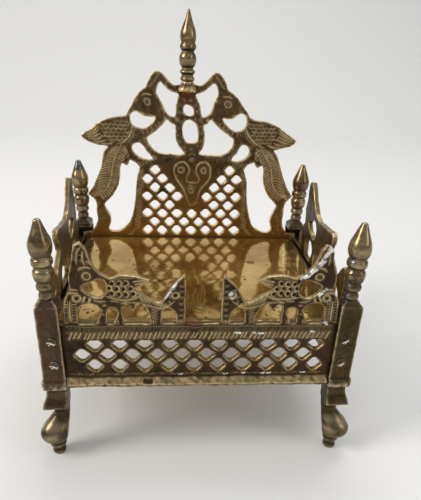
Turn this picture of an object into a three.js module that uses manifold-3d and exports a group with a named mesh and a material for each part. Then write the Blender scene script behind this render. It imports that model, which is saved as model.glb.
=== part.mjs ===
// A small throne for a household deity, cast and riveted in brass.
// Four angle posts on curved feet carry four pierced panels, a polished seat and turned finials.
// Lengths are in millimetres. X runs across, Y to the back, Z up, and the floor is at zero.
import * as THREE from 'three';
import { mergeVertices } from 'three/addons/utils/BufferGeometryUtils.js';
import Module from 'manifold-3d';

const wasm = await Module();
wasm.setup();

// Driving sizes of the whole throne
const throneWidth = 130;
const throneDepth = 114;
const legHeight = 39;
const seatHeight = 64;
const postRiseAboveSeat = 8.5;
const splayAngle = 2.6;
const rightOrnamentSplayAngle = -0.2;
const leftOrnamentSplayAngle = 2;
const crestSwayAngle = 6;
const fitGap = 0.3;
const cutOverrun = 1;
const facetTolerance = 0.13;

// Corner posts
const postWidth = 9.3;
const flangeThickness = 2;
const capPlateHeight = 2;
const capRise = 2.6;
const capTopRadius = 2.6;

// Panels
const panelThickness = 2.5;
const frontRailRise = 0.6;
const backRailRise = 2.5;
const ledgeGap = 0.3;
const mouldingHeight = 4.2;
const mouldingReach = 2.2;
const mouldingSideGap = 0.5;

// Lattice of the band below the seat
const bandHoleWidth = 7;
const bandHoleHeight = 6.7;
const bandHolePitch = 10.3;
const bandRowPitch = 4.95;
const bandFirstRowRise = 9.8;
const bandEndMargin = 3;
const bandTopMargin = 8;

// Lattice of the back above the seat
const backHoleWidth = 6.2;
const backHoleHeight = 6.1;
const backHolePitch = 8.45;
const backRowPitch = 5.1;
const backFirstRowRise = 3.9;

// Ornament above the seat
const backSideMargin = 5;
const backCrestRise = 94;
const crestSwayRise = 44;
const frontSideMargin = 9;
const frontCrestRise = 36;
const frontRightBirdShift = 1.2;
const sideBirdRearMargin = 24.2;
const sideBirdFrontMargin = 13.3;
const sideCrestRise = 42.8;
const columnHoleRadius = 3.2;

// Boss under the crown finial
const bossRadius = 5.6;
const bossHeight = 6.2;

// Seat
const seatThickness = 1.2;
const seatFlangeHeight = 9;
const seatCornerRadius = 7;
const seatEdgeRadius = 1.4;
const seatHollowEdgeRadius = 0.8;
const seatHoleRadius = 0.9;

// Finials
const cornerFinialHeight = 33;
const cornerFinialRadius = 4.75;
const crownFinialHeight = 35.4;
const crownFinialRadius = 4.6;
const tenonRadius = 1.3;
const tenonLength = 3.6;
const finialSegments = 12;

// Rivets
const rivetShankRadius = 0.9;
const rivetHeadRadius = 1.9;
const rivetHeadHeight = 0.8;
const rivetTailRadius = 1.4;
const rivetTailDepth = 0.6;
const rivetFrontInset = 5.5;
const rivetSideInset = 7.3;
const rivetSegments = 6;
const rivetRiseShares = [0.31, 0.75];

// Worked out sizes
const splaySlope = Math.tan(THREE.MathUtils.degToRad(splayAngle));
const rightOrnamentSlope = Math.tan(THREE.MathUtils.degToRad(rightOrnamentSplayAngle));
const leftOrnamentSlope = Math.tan(THREE.MathUtils.degToRad(leftOrnamentSplayAngle));
const swaySlope = Math.tan(THREE.MathUtils.degToRad(crestSwayAngle));
const swayStart = seatHeight + crestSwayRise;
const halfWidth = throneWidth / 2;
const halfDepth = throneDepth / 2;
const postTop = seatHeight + postRiseAboveSeat;
const backHalfSpan = halfWidth - backSideMargin;
const frontHalfSpan = halfWidth - frontSideMargin;
const sideBirdRear = halfDepth - sideBirdRearMargin;
const sideBirdFront = sideBirdFrontMargin - halfDepth;
const panelInset = flangeThickness + fitGap;
const panelInnerInset = panelInset + panelThickness;
const plateBottom = legHeight - mouldingHeight + ledgeGap;
const plateLedge = legHeight + ledgeGap;
const frontPlateHalfLength = halfWidth - panelInset;
const sidePlateHalfLength = halfDepth - panelInnerInset - fitGap;
const rivetHoleRadius = rivetShankRadius + fitGap;
const finialAxisInset = postWidth / 2;
const bandFirstRow = plateBottom + bandFirstRowRise;
const bandRows = Math.floor((seatHeight - bandTopMargin - bandFirstRow) / bandRowPitch) + 1;
const rivetHeights = rivetRiseShares.map((share) => legHeight + share * (seatHeight - legHeight));

// Drawing squares of the ornament. The tables below count squares across and squares above the seat.
const backColumns = 60;
const backLines = 94;
const birdColumns = 56;
const birdLines = 36;

// Back ornament, right half, as shares counted in squares: the outer edge from the seat to the crown.
// Each inner list is one smooth stretch that starts where the one before it ends.
const backStartShares = [0, -4];
const backEdgeShares = [
  [[57.5, -4]],
  [[57.2, 1.8], [54.9, 5.8], [53.9, 10.2], [54.8, 14.8], [54.3, 19], [55.9, 22.6], [58.8, 24.9]],
  [[57.2, 27.1], [55.6, 29.7], [53.6, 33.6], [51.8, 37.6], [50.8, 42], [49.9, 46], [48.4, 49.6],
    [46.2, 52.2]],
  [[51.2, 52.7], [55.6, 54], [58.9, 56], [59.9, 57.9]],
  [[57.8, 59.6], [54.6, 61.4], [51.8, 63.5], [48.6, 65.5], [44.2, 67.3], [39.4, 68.3], [36, 68.6],
    [34.2, 69.4]],
  [[33.1, 71.4], [31.4, 73.9], [29.7, 76.1], [28.4, 78.7], [26.5, 81], [24.6, 82.8], [22.2, 84.2]],
  [[21.6, 86.8], [20.1, 89.4], [18.5, 91.5], [16.6, 92.7], [14.8, 92.6], [13, 91.2], [11.3, 89.2],
    [9.3, 87.1], [7.1, 85.8], [4.5, 86]],
  [[0, 86]],
];
// The opening between crest, head and column
const backCrestOpeningShares = [
  [4.6, 81],
  [[7, 82], [9.8, 83.1], [12.4, 85.2], [14.3, 87.4]],
  [[15.6, 86], [16.4, 83.9], [16.8, 81.6]],
  [[15.1, 78.9], [13.8, 76], [12.9, 73.1], [11.7, 70.9], [9.7, 69.5], [7.3, 69]],
  [[6.9, 71.2], [6.9, 73.8], [6.3, 76.6], [5.3, 79.2], [4.6, 81]],
];
// The opening under the beak
const backThroatOpeningShares = [
  [18.3, 69.2],
  [[20.8, 68.6], [23.9, 68.9], [26.6, 70.4], [28.9, 71.5]],
  [[31.2, 70.5], [32.2, 68], [31.6, 65.2], [29.8, 63], [27.2, 62.2], [24.4, 62.5], [21.6, 64.2],
    [19.4, 66.6], [18.3, 69.2]],
];
// The opening between breast and column
const backNeckOpeningShares = [
  [3.4, 48.9],
  [[5.1, 50.8], [7, 53.4], [8.2, 56.6], [8.2, 61], [7.5, 64.6]],
  [[9.5, 65.3], [12.2, 67.9]],
  [[14.7, 65], [17.4, 62.4], [20.4, 60], [24.2, 57.8]],
  [[23.9, 55.4], [22.7, 53], [20.9, 50.8], [18.4, 49]],
  [[14.6, 48.3], [10, 48.7], [6, 48.4], [3.4, 48.9]],
];
// The small opening under the wing
const backWingOpeningShares = [
  [21.9, 45.6],
  [[23.3, 48], [25.4, 50.1], [26.9, 52.9], [29, 54.6], [31.5, 54], [32.9, 51.6], [32.2, 49], [30.3, 47.2],
    [27.4, 45.9], [24.4, 45], [21.9, 45.6]],
];
// The tall gap between lattice and tail feather
const backTailGapShares = [
  [29.5, 41],
  [[31.5, 43.4], [35, 44.8]],
  [[35.7, 42.4], [37.2, 41.4]],
  [[38.4, 42.4], [39.8, 42.8]],
  [[40.8, 39.4], [41, 34], [42.2, 28.6], [44.6, 24.4], [47.6, 21.6], [49.8, 19.2]],
  [[48.7, 16], [47, 13], [46.4, 9.8], [47.4, 6.4], [48, 4.8]],
  [[46.3, 3.2], [43.2, 2.8], [39.8, 4.2], [36.6, 6.9], [34.6, 10.6], [33.2, 16], [32.3, 22.4], [32, 28],
    [31.3, 34], [29.5, 41]],
];
// The drop shaped opening of the column, right half
const dropOpeningShares = [
  [0, 67.8],
  [[2.4, 66.9], [3.8, 64.4], [4.4, 61.2], [4.4, 58.2], [2.8, 55.6], [0, 54.8]],
];
const columnHoleShares = [0, 72.7];
// Half width of the heart plaque, which the lattice goes round, from its tip up
const heartHalfWidthShares = [[0, 19], [2, 22], [4.4, 26], [7.6, 31], [10.4, 36], [11.6, 40], [11.6, 47]];
const heartMarginShare = 1;
// Half width and height of the lattice field above the seat
const latticeFieldShares = [29, 42];

// Peacock, as shares counted in squares: its pillar, breast, head and crest down to the back of the neck
const birdStartShares = [55.5, -4];
const birdHeadShares = [
  [[55.5, 7.6]],
  [[55.2, 10.4], [54.2, 13], [52.3, 15.2]],
  [[52.9, 18.8], [53, 22], [52.1, 25.3], [51.2, 28.7], [51, 32], [49.9, 34.4], [47.8, 35.4]],
];
// The front bird from its crest over the pointed wing and the tail to the flame support
const frontTailShares = [
  [[46.1, 33.1], [44.6, 29.3], [42.7, 25.4], [40.2, 22.3], [36.9, 20.7]],
  [[34.6, 21.6], [31.8, 22.1], [28.4, 21.9], [24.8, 21.2], [21, 19.6]],
  [[22.6, 18.6], [24.7, 17.4], [28, 15.8]],
  [[26, 14.6], [23.1, 12.9], [20.3, 11.1], [17.8, 9.9], [16, 10.6], [14.8, 12.9], [13.6, 15.3], [12, 17.7],
    [9.7, 20], [7.3, 22]],
  [[6.7, 19.8], [6.8, 15]],
  [[6.8, -4]],
];
// The side bird from its crest over the blunt wing and the tail to the lower flame support
const sideTailShares = [
  [[46, 33.1], [44.2, 29.4], [42, 26], [39.4, 23.3], [36, 22.2]],
  [[32, 22.6], [28, 23], [24.4, 23.5], [21.8, 24]],
  [[20.4, 22.8], [20.6, 20.4], [22.4, 17.4]],
  [[22.9, 16], [21.6, 14], [19.4, 11.8], [16.8, 9.8], [14.6, 9.8], [12.6, 12.2], [10.6, 15.2], [8.8, 16.9]],
  [[6.9, 16.6], [6.9, 13]],
  [[6.8, -4]],
];
const birdThroatShares = [
  [48.1, 16.6],
  [[46.4, 18.1], [44.4, 18.9], [42.3, 20.1], [39.7, 20], [38.1, 18], [38, 15.3], [39.1, 13.1], [41.2, 12],
    [43.6, 12.6], [46.2, 14.2], [48.1, 16.6]],
];
const birdFirstGapShares = [
  [49.6, -3],
  [[49.7, 6.4]],
  [[48.7, 8.6], [46.8, 9.5], [44.2, 9.7], [41.8, 8.6], [40.6, 6.4], [41.6, 3.7], [43, 0.7]],
  [[43.1, -3]],
];
const birdLegGapShares = [
  [38.6, -3],
  [[38.5, 0.7], [38.2, 3.7], [37.9, 6.4], [36.7, 7.9], [35.2, 7.9], [33.8, 6.1], [34.7, 3.7], [36.1, 0.7]],
  [[36.2, -3]],
];
const birdTailGapShares = [
  [31.9, -3],
  [[31.9, 0.7], [31.6, 3.7], [32.1, 6.4], [31.4, 8.7], [29.6, 9.3]],
  [[28.8, 7.4], [27.3, 6]],
  [[26.6, 8.3], [25.9, 10.2]],
  [[24.4, 9.7], [23.2, 8.4], [22, 6.4], [21.1, 3.7], [20.9, 0.7]],
  [[20.9, -3]],
];
const birdFlameGapShares = [
  [16.4, -3],
  [[16.3, 3.7], [16, 6.8], [14.7, 7.8], [13, 7.4], [11.2, 6.1], [10.4, 3.7], [10.4, 0.7]],
  [[10.4, -3]],
];

// Corner finial, as shares of its radius and of its height above the cap
const cornerFinialShares = [
  [0.6, 0], [0.66, 0.04], [0.54, 0.095], [0.72, 0.13], [0.74, 0.17], [0.65, 0.21], [0.8, 0.25],
  [0.9, 0.31], [0.87, 0.36], [0.72, 0.405], [0.88, 0.445], [0.88, 0.505], [0.77, 0.535], [0.92, 0.59],
  [1, 0.66], [0.93, 0.735], [0.73, 0.815], [0.5, 0.9], [0.32, 0.97],
];
// Crown finial, the same way above the boss
const crownFinialShares = [
  [0.76, 0], [0.85, 0.035], [0.66, 0.075], [0.82, 0.11], [0.9, 0.135], [0.64, 0.178], [0.88, 0.23],
  [1, 0.315], [0.9, 0.375], [0.7, 0.415], [0.92, 0.465], [0.9, 0.51], [0.79, 0.54], [0.92, 0.6],
  [0.9, 0.67], [0.76, 0.735], [0.55, 0.805], [0.35, 0.877], [0.21, 0.945], [0.12, 0.985],
];

// Boss under the crown finial, as shares of its radius and height
const bossShares = [
  [0, 0], [0.55, 0], [0.9, 0.12], [1, 0.3], [0.86, 0.5], [0.66, 0.72], [0.62, 1], [0, 1],
];

// Leg sections from the floor up: share of the leg height, how far the outer and the inner faces stand
// from the post's outer faces as shares of its width, and how square the section is, two for round
const legSectionShares = [
  [0, 0.16, 0.68, 2], [0.03, 0.1, 0.73, 2], [0.08, 0.13, 0.7, 2], [0.12, 0.02, 0.77, 2],
  [0.155, 0.05, 0.77, 2], [0.175, 0.1, 0.78, 2], [0.2, -0.12, 0.84, 2.2], [0.245, -0.29, 0.88, 2.2],
  [0.31, -0.35, 0.92, 2.2], [0.38, -0.23, 0.95, 2.2], [0.45, 0.04, 0.96, 2.4], [0.52, 0.26, 0.97, 2.6],
  [0.59, 0.25, 0.98, 3.4], [0.65, 0.1, 1, 5], [0.652, -0.12, 1, 14], [0.7, -0.08, 1, 14],
  [0.77, 0.04, 1, 14], [0.875, 0.09, 1, 14], [0.89, -0.06, 1, 14], [0.98, -0.09, 1, 14], [1, -0.02, 1, 14],
];
const legSegments = 12;

// How far the leaning corners stand out at a height above the floor
function splayAt(height) {
  return splaySlope * Math.max(0, height - legHeight);
}

// The side panels lean with the corners up to the seat and by a slope of their own above it
function sidePanelSplayAt(height, slope) {
  return splayAt(Math.min(height, seatHeight)) + slope * Math.max(0, height - seatHeight);
}

// The crest of the back stands a little to the left of the lattice below it
function crestSwayAt(height) {
  return swaySlope * THREE.MathUtils.clamp(height - swayStart, 0, crownSeat - bossHeight - swayStart);
}

// Turns a closed geometry into a solid for joining and cutting
function toSolid(geometry) {
  const bare = geometry.clone();
  bare.deleteAttribute('normal');
  bare.deleteAttribute('uv');
  const merged = mergeVertices(bare.index ? bare.toNonIndexed() : bare);
  const vertProperties = new Float32Array(merged.attributes.position.array);
  const triVerts = new Uint32Array(merged.index.array);
  return new wasm.Manifold(new wasm.Mesh({ numProp: 3, vertProperties, triVerts }));
}

// Turns a solid back into a geometry, each vertex moved by a function where one is given
function toGeometry(solid, move = (x, y, z) => [x, y, z], mirrored = false) {
  const mesh = solid.getMesh();
  const places = new Float32Array(mesh.vertProperties.length);
  for (let at = 0; at < places.length; at += 3) {
    const moved = move(mesh.vertProperties[at], mesh.vertProperties[at + 1], mesh.vertProperties[at + 2]);
    places.set(moved, at);
  }
  const corners = Array.from(mesh.triVerts);
  if (mirrored) {
    for (let at = 0; at < corners.length; at += 3) {
      [corners[at], corners[at + 1]] = [corners[at + 1], corners[at]];
    }
  }
  const geometry = new THREE.BufferGeometry();
  geometry.setAttribute('position', new THREE.BufferAttribute(places, 3));
  geometry.setIndex(corners);
  geometry.computeVertexNormals();
  return geometry;
}

// Keeps only the points of a run that its shape needs
function simplify(points) {
  const first = points[0];
  const last = points[points.length - 1];
  const chord = new THREE.Vector2().subVectors(last, first);
  let farthest = 0;
  let index = 0;
  for (let at = 1; at < points.length - 1; at += 1) {
    const arm = new THREE.Vector2().subVectors(points[at], first);
    const away = chord.length() > facetTolerance ? Math.abs(chord.cross(arm)) / chord.length() : arm.length();
    if (away > farthest) {
      farthest = away;
      index = at;
    }
  }
  if (farthest <= facetTolerance) {
    return [first, last];
  }
  return [...simplify(points.slice(0, index + 1)).slice(0, -1), ...simplify(points.slice(index))];
}

// Runs smooth stretches through table points that a placing function turns into lengths
function smoothRun(start, stretches, place) {
  const run = [place(start)];
  for (const stretch of stretches) {
    const knots = [run[run.length - 1], ...stretch.map(place)];
    if (knots.length === 2) {
      run.push(knots[1]);
      continue;
    }
    const raised = knots.map((p) => new THREE.Vector3(p.x, p.y, 0));
    const curve = new THREE.CatmullRomCurve3(raised, false, 'centripetal');
    const steps = curve.getPoints((knots.length - 1) * 5).map((p) => new THREE.Vector2(p.x, p.y));
    run.push(...simplify(steps).slice(1));
  }
  return run;
}

// Drops a closing point that repeats the first
function closedLoop(points) {
  const closes = points[0].distanceTo(points[points.length - 1]) < facetTolerance;
  return closes ? points.slice(0, -1) : points;
}

// A prism through the thickness of a panel: X along the panel, Y up, Z outward from its inner face
function prism(outline, from, to) {
  const depth = to - from;
  const geometry = new THREE.ExtrudeGeometry(new THREE.Shape(outline), { depth, bevelEnabled: false });
  geometry.translate(0, 0, from);
  return toSolid(geometry);
}

// A cutter for one opening, which runs past both faces of the panel
function openingCutter(outline) {
  return prism(outline, -cutOverrun, panelThickness + cutOverrun);
}

// A lattice hole: a diamond that is blunt above and below
function bluntDiamond(x, y, holeWidth, holeHeight) {
  const tipShares = [[1, 0], [0.2, 0.84], [-0.2, 0.84], [-1, 0], [-0.2, -0.84], [0.2, -0.84]];
  return tipShares.map(([a, b]) => new THREE.Vector2(x + a * holeWidth / 2, y + b * holeHeight / 2));
}

function cutAll(solid, cutters) {
  return cutters.length ? solid.subtract(wasm.Manifold.union(cutters)) : solid;
}

// The lattice of the band: rows of diamonds, each row shifted by half a pitch
function bandCutters(halfLength) {
  const cutters = [];
  const room = halfLength - bandEndMargin - bandHoleWidth / 2;
  const perRow = Math.floor((2 * room - bandHolePitch / 2) / bandHolePitch) + 1;
  for (let row = 0; row < bandRows; row += 1) {
    const shift = (row % 2 ? -1 : 1) * bandHolePitch / 4;
    const y = bandFirstRow + row * bandRowPitch;
    for (let column = 0; column < perRow; column += 1) {
      const x = (column - (perRow - 1) / 2) * bandHolePitch + shift;
      cutters.push(openingCutter(bluntDiamond(x, y, bandHoleWidth, bandHoleHeight)));
    }
  }
  return cutters;
}

// The moulding along the foot of a panel, a bevelled bar on its outer face
function footMoulding(halfLength) {
  const bevelShare = 0.45;
  const top = plateBottom + mouldingHeight;
  const face = panelThickness;
  const section = [
    [face - fitGap, plateBottom], [face + mouldingReach * (1 - bevelShare), plateBottom],
    [face + mouldingReach, plateBottom + mouldingHeight * bevelShare],
    [face + mouldingReach * (1 - bevelShare), top - mouldingHeight * (1 - bevelShare) / 2],
    [face - fitGap, top],
  ].map(([outward, up]) => new THREE.Vector2(-outward, up));
  const shape = new THREE.Shape(section);
  const geometry = new THREE.ExtrudeGeometry(shape, { depth: 2 * halfLength, bevelEnabled: false });
  geometry.rotateY(Math.PI / 2);
  geometry.translate(-halfLength, 0, 0);
  return toSolid(geometry);
}

// The band below the seat, with ends that stand on the ledges of the posts
function bandPlate(halfLength, halfOpening, railRise) {
  const lowHalf = halfOpening - mouldingSideGap;
  const top = seatHeight + railRise;
  const outline = [
    [-lowHalf, plateBottom], [lowHalf, plateBottom], [lowHalf, plateLedge], [halfLength, plateLedge],
    [halfLength, top], [-halfLength, top], [-halfLength, plateLedge], [-lowHalf, plateLedge],
  ].map(([x, y]) => new THREE.Vector2(x, y));
  return prism(outline, 0, panelThickness).add(footMoulding(lowHalf));
}

// A countersunk rivet hole along Z, from the inner face of a panel at zero
function rivetHole() {
  const outer = panelThickness + cutOverrun;
  const profile = [
    [0, -cutOverrun], [rivetTailRadius + fitGap, -cutOverrun], [rivetTailRadius + fitGap, 0],
    [rivetHoleRadius, rivetTailDepth], [rivetHoleRadius, outer], [0, outer],
  ].map(([r, h]) => new THREE.Vector2(r, h));
  return new THREE.LatheGeometry(profile, rivetSegments).rotateX(Math.PI / 2);
}

// Cutters for the rivets of one panel, at a distance from its middle that the lean may add to
function rivetCutters(distance, leans) {
  const cutters = [];
  for (const side of [-1, 1]) {
    for (const height of rivetHeights) {
      const geometry = rivetHole();
      geometry.translate(side * (distance + (leans ? splayAt(height) : 0)), height, 0);
      cutters.push(toSolid(geometry));
    }
  }
  return cutters;
}

// A loop of the right half and its mirror image
function bothHalves(points) {
  return [points, points.map((p) => new THREE.Vector2(-p.x, p.y)).reverse()];
}

// The peacock as outline and openings, placed by a function
function birdPrisms(place, tailShares) {
  const edge = smoothRun(birdStartShares, [...birdHeadShares, ...tailShares], place);
  const body = prism(closedLoop(edge), 0, panelThickness);
  const tables = [
    birdThroatShares, birdFirstGapShares, birdLegGapShares, birdTailGapShares, birdFlameGapShares,
  ];
  const openings = tables.map(([start, ...stretches]) => (
    openingCutter(closedLoop(smoothRun(start, stretches, place)))
  ));
  return cutAll(body, openings);
}

function mirrorSolid(solid) {
  return toSolid(toGeometry(solid, (x, y, z) => [-x, y, z], true));
}

// Front: the band with two peacocks that face each other across the entry gap
function frontPanel() {
  const place = (shift) => ([across, up]) => new THREE.Vector2(
    across * frontHalfSpan / birdColumns + shift,
    seatHeight + up * frontCrestRise / birdLines,
  );
  const plate = cutAll(
    bandPlate(frontPlateHalfLength, halfWidth - postWidth, frontRailRise),
    [...bandCutters(halfWidth - postWidth), ...rivetCutters(halfWidth - rivetFrontInset, true)],
  );
  const rightBird = birdPrisms(place(frontRightBirdShift), frontTailShares);
  const leftBird = mirrorSolid(birdPrisms(place(0), frontTailShares));
  return plate.add(rightBird).add(leftBird);
}

// Side: the same band with one larger peacock, leaning outward with the posts
function sidePanel(headDirection) {
  const [frontShare, rearShare] = [6.8, 55.5];
  const place = ([across, up]) => new THREE.Vector2(
    THREE.MathUtils.mapLinear(across, frontShare, rearShare, sideBirdFront, sideBirdRear),
    seatHeight + up * sideCrestRise / birdLines,
  );
  const drawn = birdPrisms(place, sideTailShares);
  const bird = headDirection > 0 ? drawn : mirrorSolid(drawn);
  const plate = cutAll(
    bandPlate(sidePlateHalfLength, halfDepth - postWidth, frontRailRise),
    [...bandCutters(halfDepth - postWidth), ...rivetCutters(halfDepth - rivetSideInset, false)],
  );
  return plate.add(bird);
}

// Half width of the heart plaque at a number of squares above the seat
function heartHalfWidth(up) {
  if (up < heartHalfWidthShares[0][1]) {
    return -backColumns;
  }
  for (let at = 1; at < heartHalfWidthShares.length; at += 1) {
    const [wide, high] = heartHalfWidthShares[at];
    const [wideBelow, highBelow] = heartHalfWidthShares[at - 1];
    if (up <= high) {
      return wideBelow + (wide - wideBelow) * (up - highBelow) / (high - highBelow);
    }
  }
  return 0;
}

// The lattice of the back, which leaves the heart plaque solid
function backLatticeCutters() {
  const cutters = [];
  const squareWidth = backHalfSpan / backColumns;
  const squareHeight = backCrestRise / backLines;
  const fieldHalfWidth = latticeFieldShares[0] * squareWidth;
  const fieldHeight = latticeFieldShares[1] * squareHeight;
  const backRows = Math.floor((fieldHeight - backFirstRowRise) / backRowPitch) + 1;
  for (let row = 0; row < backRows; row += 1) {
    const rise = backFirstRowRise + row * backRowPitch;
    const heart = (heartHalfWidth(rise / squareHeight) + heartMarginShare) * squareWidth;
    const offset = row % 2 ? backHolePitch / 2 : 0;
    const reach = fieldHalfWidth - backHoleWidth / 2;
    const perSide = Math.floor((reach - offset) / backHolePitch);
    for (let column = -perSide - (row % 2); column <= perSide; column += 1) {
      const x = column * backHolePitch + offset;
      if (Math.abs(x) - backHoleWidth / 2 >= heart) {
        cutters.push(openingCutter(bluntDiamond(x, seatHeight + rise, backHoleWidth, backHoleHeight)));
      }
    }
  }
  return cutters;
}

// The bell shaped boss that carries the crown finial
function crownBoss(top) {
  const profile = bossShares.map(([r, h]) => new THREE.Vector2(r * bossRadius, h * bossHeight));
  const geometry = new THREE.LatheGeometry(profile, finialSegments);
  geometry.translate(0, top - bossHeight, panelThickness / 2);
  return toSolid(geometry);
}

// Where the crown finial stands
const crownSeat = seatHeight + backCrestRise * 87.8 / backLines;

// Back: the band, the openwork with its lattice and the boss
function backPanel() {
  const place = ([across, up]) => new THREE.Vector2(
    across * backHalfSpan / backColumns,
    seatHeight + up * backCrestRise / backLines,
  );
  const half = smoothRun(backStartShares, backEdgeShares, place);
  const mirrored = half.slice(1, -1).map((p) => new THREE.Vector2(-p.x, p.y)).reverse();
  const openwork = prism([...half, ...mirrored], 0, panelThickness);
  const sideTables = [
    backCrestOpeningShares, backThroatOpeningShares, backNeckOpeningShares, backWingOpeningShares,
    backTailGapShares,
  ];
  const sideLoops = sideTables.flatMap(([start, ...stretches]) => (
    bothHalves(closedLoop(smoothRun(start, stretches, place)))
  ));
  const [dropStart, ...dropStretches] = dropOpeningShares;
  const dropHalf = smoothRun(dropStart, dropStretches, place);
  const drop = [...dropHalf, ...dropHalf.slice(1, -1).map((p) => new THREE.Vector2(-p.x, p.y)).reverse()];
  const holeCentre = place(columnHoleShares);
  const holeCurve = new THREE.Path().absarc(holeCentre.x, holeCentre.y, columnHoleRadius, 0, 2 * Math.PI);
  const columnHole = holeCurve.getPoints(6);
  const tenonHole = new THREE.CylinderGeometry(
    tenonRadius + fitGap, tenonRadius + fitGap, tenonLength + 2 * cutOverrun, finialSegments,
  );
  tenonHole.translate(0, crownSeat - tenonLength / 2, panelThickness / 2);
  const plate = cutAll(
    bandPlate(frontPlateHalfLength, halfWidth - postWidth, backRailRise),
    [...bandCutters(halfWidth - postWidth), ...rivetCutters(halfWidth - rivetFrontInset, true)],
  );
  const whole = plate.add(openwork).add(crownBoss(crownSeat));
  return cutAll(whole, [
    ...[...sideLoops, drop, closedLoop(columnHole)].map(openingCutter),
    ...backLatticeCutters(),
    toSolid(tenonHole),
  ]);
}

// The leg: rounded sections that swell outward at the knee and stand on a small foot
function legSolid() {
  const places = [];
  const corners = [];
  for (const [heightShare, outerShare, innerShare, squareness] of legSectionShares) {
    const outer = outerShare * postWidth;
    const half = (innerShare - outerShare) * postWidth / 2;
    for (let side = 0; side < legSegments; side += 1) {
      const angle = 2 * Math.PI * (side + 0.5) / legSegments;
      const bulge = (value) => Math.sign(value) * Math.abs(value) ** (2 / squareness);
      places.push(outer + half + half * bulge(Math.cos(angle)), outer + half + half * bulge(Math.sin(angle)));
      places.push(heightShare * legHeight);
    }
  }
  const levels = legSectionShares.length;
  for (let level = 0; level < levels - 1; level += 1) {
    for (let side = 0; side < legSegments; side += 1) {
      const next = (side + 1) % legSegments;
      const low = level * legSegments;
      const high = low + legSegments;
      corners.push(low + side, low + next, high + next, low + side, high + next, high + side);
    }
  }
  const top = (levels - 1) * legSegments;
  for (let side = 1; side < legSegments - 1; side += 1) {
    corners.push(0, side + 1, side, top, top + side, top + side + 1);
  }
  const geometry = new THREE.BufferGeometry();
  geometry.setAttribute('position', new THREE.BufferAttribute(new Float32Array(places), 3));
  geometry.setIndex(corners);
  return toSolid(geometry);
}

// A block between two corners
function block(low, high) {
  const size = high.map((value, axis) => value - low[axis]);
  const geometry = new THREE.BoxGeometry(...size);
  geometry.translate(...low.map((value, axis) => value + size[axis] / 2));
  return toSolid(geometry);
}

// The sloping cap: a frustum from the square of the post to a small flat for the finial
function capSolid() {
  const cornerShare = Math.SQRT2;
  const geometry = new THREE.CylinderGeometry(
    capTopRadius * cornerShare, postWidth / 2 * cornerShare, capRise, 4,
  );
  geometry.rotateY(Math.PI / 4);
  geometry.rotateX(Math.PI / 2);
  geometry.translate(postWidth / 2, postWidth / 2, postTop + capRise / 2);
  return toSolid(geometry);
}

// A corner post drawn from its outer edge inward: first and second axes along its two flanges
function postSolid() {
  const under = legHeight - cutOverrun;
  const firstFlange = block([0, 0, under], [postWidth, flangeThickness, postTop]);
  const secondFlange = block([0, 0, under], [flangeThickness, postWidth, postTop]);
  const capPlate = block([0, 0, postTop - capPlateHeight], [postWidth, postWidth, postTop]);
  const post = legSolid().add(firstFlange).add(secondFlange).add(capPlate).add(capSolid());
  const cutters = [];
  for (const height of rivetHeights) {
    for (const [inset, alongFirst] of [[rivetFrontInset, true], [rivetSideInset, false]]) {
      const geometry = new THREE.CylinderGeometry(
        rivetHoleRadius, rivetHoleRadius, flangeThickness + 2 * cutOverrun, rivetSegments,
      );
      const middle = flangeThickness / 2;
      if (alongFirst) {
        geometry.translate(inset, middle, height);
      } else {
        geometry.rotateZ(Math.PI / 2);
        geometry.translate(middle, inset, height);
      }
      cutters.push(toSolid(geometry));
    }
  }
  const tenonHole = new THREE.CylinderGeometry(
    tenonRadius + fitGap, tenonRadius + fitGap, tenonLength + 2 * cutOverrun, finialSegments,
  );
  tenonHole.rotateX(Math.PI / 2);
  tenonHole.translate(finialAxisInset, finialAxisInset, postTop + capRise - tenonLength / 2);
  cutters.push(toSolid(tenonHole));
  return cutAll(post, cutters);
}

// A turned finial with its tenon, standing on zero
function finialGeometry(shares, radius, height) {
  const profile = [
    [0, -tenonLength], [tenonRadius, -tenonLength], [tenonRadius, 0],
    ...shares.map(([r, h]) => [r * radius, h * height]), [0, height],
  ].map(([r, h]) => new THREE.Vector2(r, h));
  const geometry = new THREE.LatheGeometry(profile, finialSegments);
  geometry.rotateX(Math.PI / 2);
  return toGeometry(toSolid(geometry));
}

// A rivet along its own Z axis, with the outer face of the flange at zero and its tail flush in the panel
function rivetGeometry() {
  const headBrowShare = 0.72;
  const profile = [
    [0, -panelInnerInset], [rivetTailRadius, -panelInnerInset],
    [rivetShankRadius, rivetTailDepth - panelInnerInset],
    [rivetShankRadius, fitGap], [rivetHeadRadius, fitGap],
    [rivetHeadRadius * headBrowShare, fitGap + rivetHeadHeight * headBrowShare],
    [0, fitGap + rivetHeadHeight],
  ].map(([r, h]) => new THREE.Vector2(r, h));
  const geometry = new THREE.LatheGeometry(profile, rivetSegments);
  geometry.rotateX(Math.PI / 2);
  return toGeometry(toSolid(geometry));
}

// A rounded rectangle about the middle
function roundedRectangle(halfX, halfY, radius) {
  const shape = new THREE.Shape();
  const quarter = Math.PI / 2;
  const middles = [[1, -1, -quarter], [1, 1, 0], [-1, 1, quarter], [-1, -1, 2 * quarter]];
  for (const [right, back, start] of middles) {
    shape.absarc(right * (halfX - radius), back * (halfY - radius), radius, start, start + quarter, false);
  }
  return shape;
}

// The body under one face of the seat: a rounded block with a rolled upper edge
function seatBody(halfX, halfY, cornerRadius, edgeRadius, bottom, top) {
  const shape = roundedRectangle(halfX - edgeRadius, halfY - edgeRadius, cornerRadius - edgeRadius);
  const geometry = new THREE.ExtrudeGeometry(shape, {
    depth: top - bottom - 2 * edgeRadius,
    curveSegments: 4,
    bevelEnabled: true,
    bevelSize: edgeRadius,
    bevelThickness: edgeRadius,
    bevelSegments: 2,
  });
  geometry.translate(0, 0, bottom + edgeRadius);
  return toSolid(geometry);
}

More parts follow.
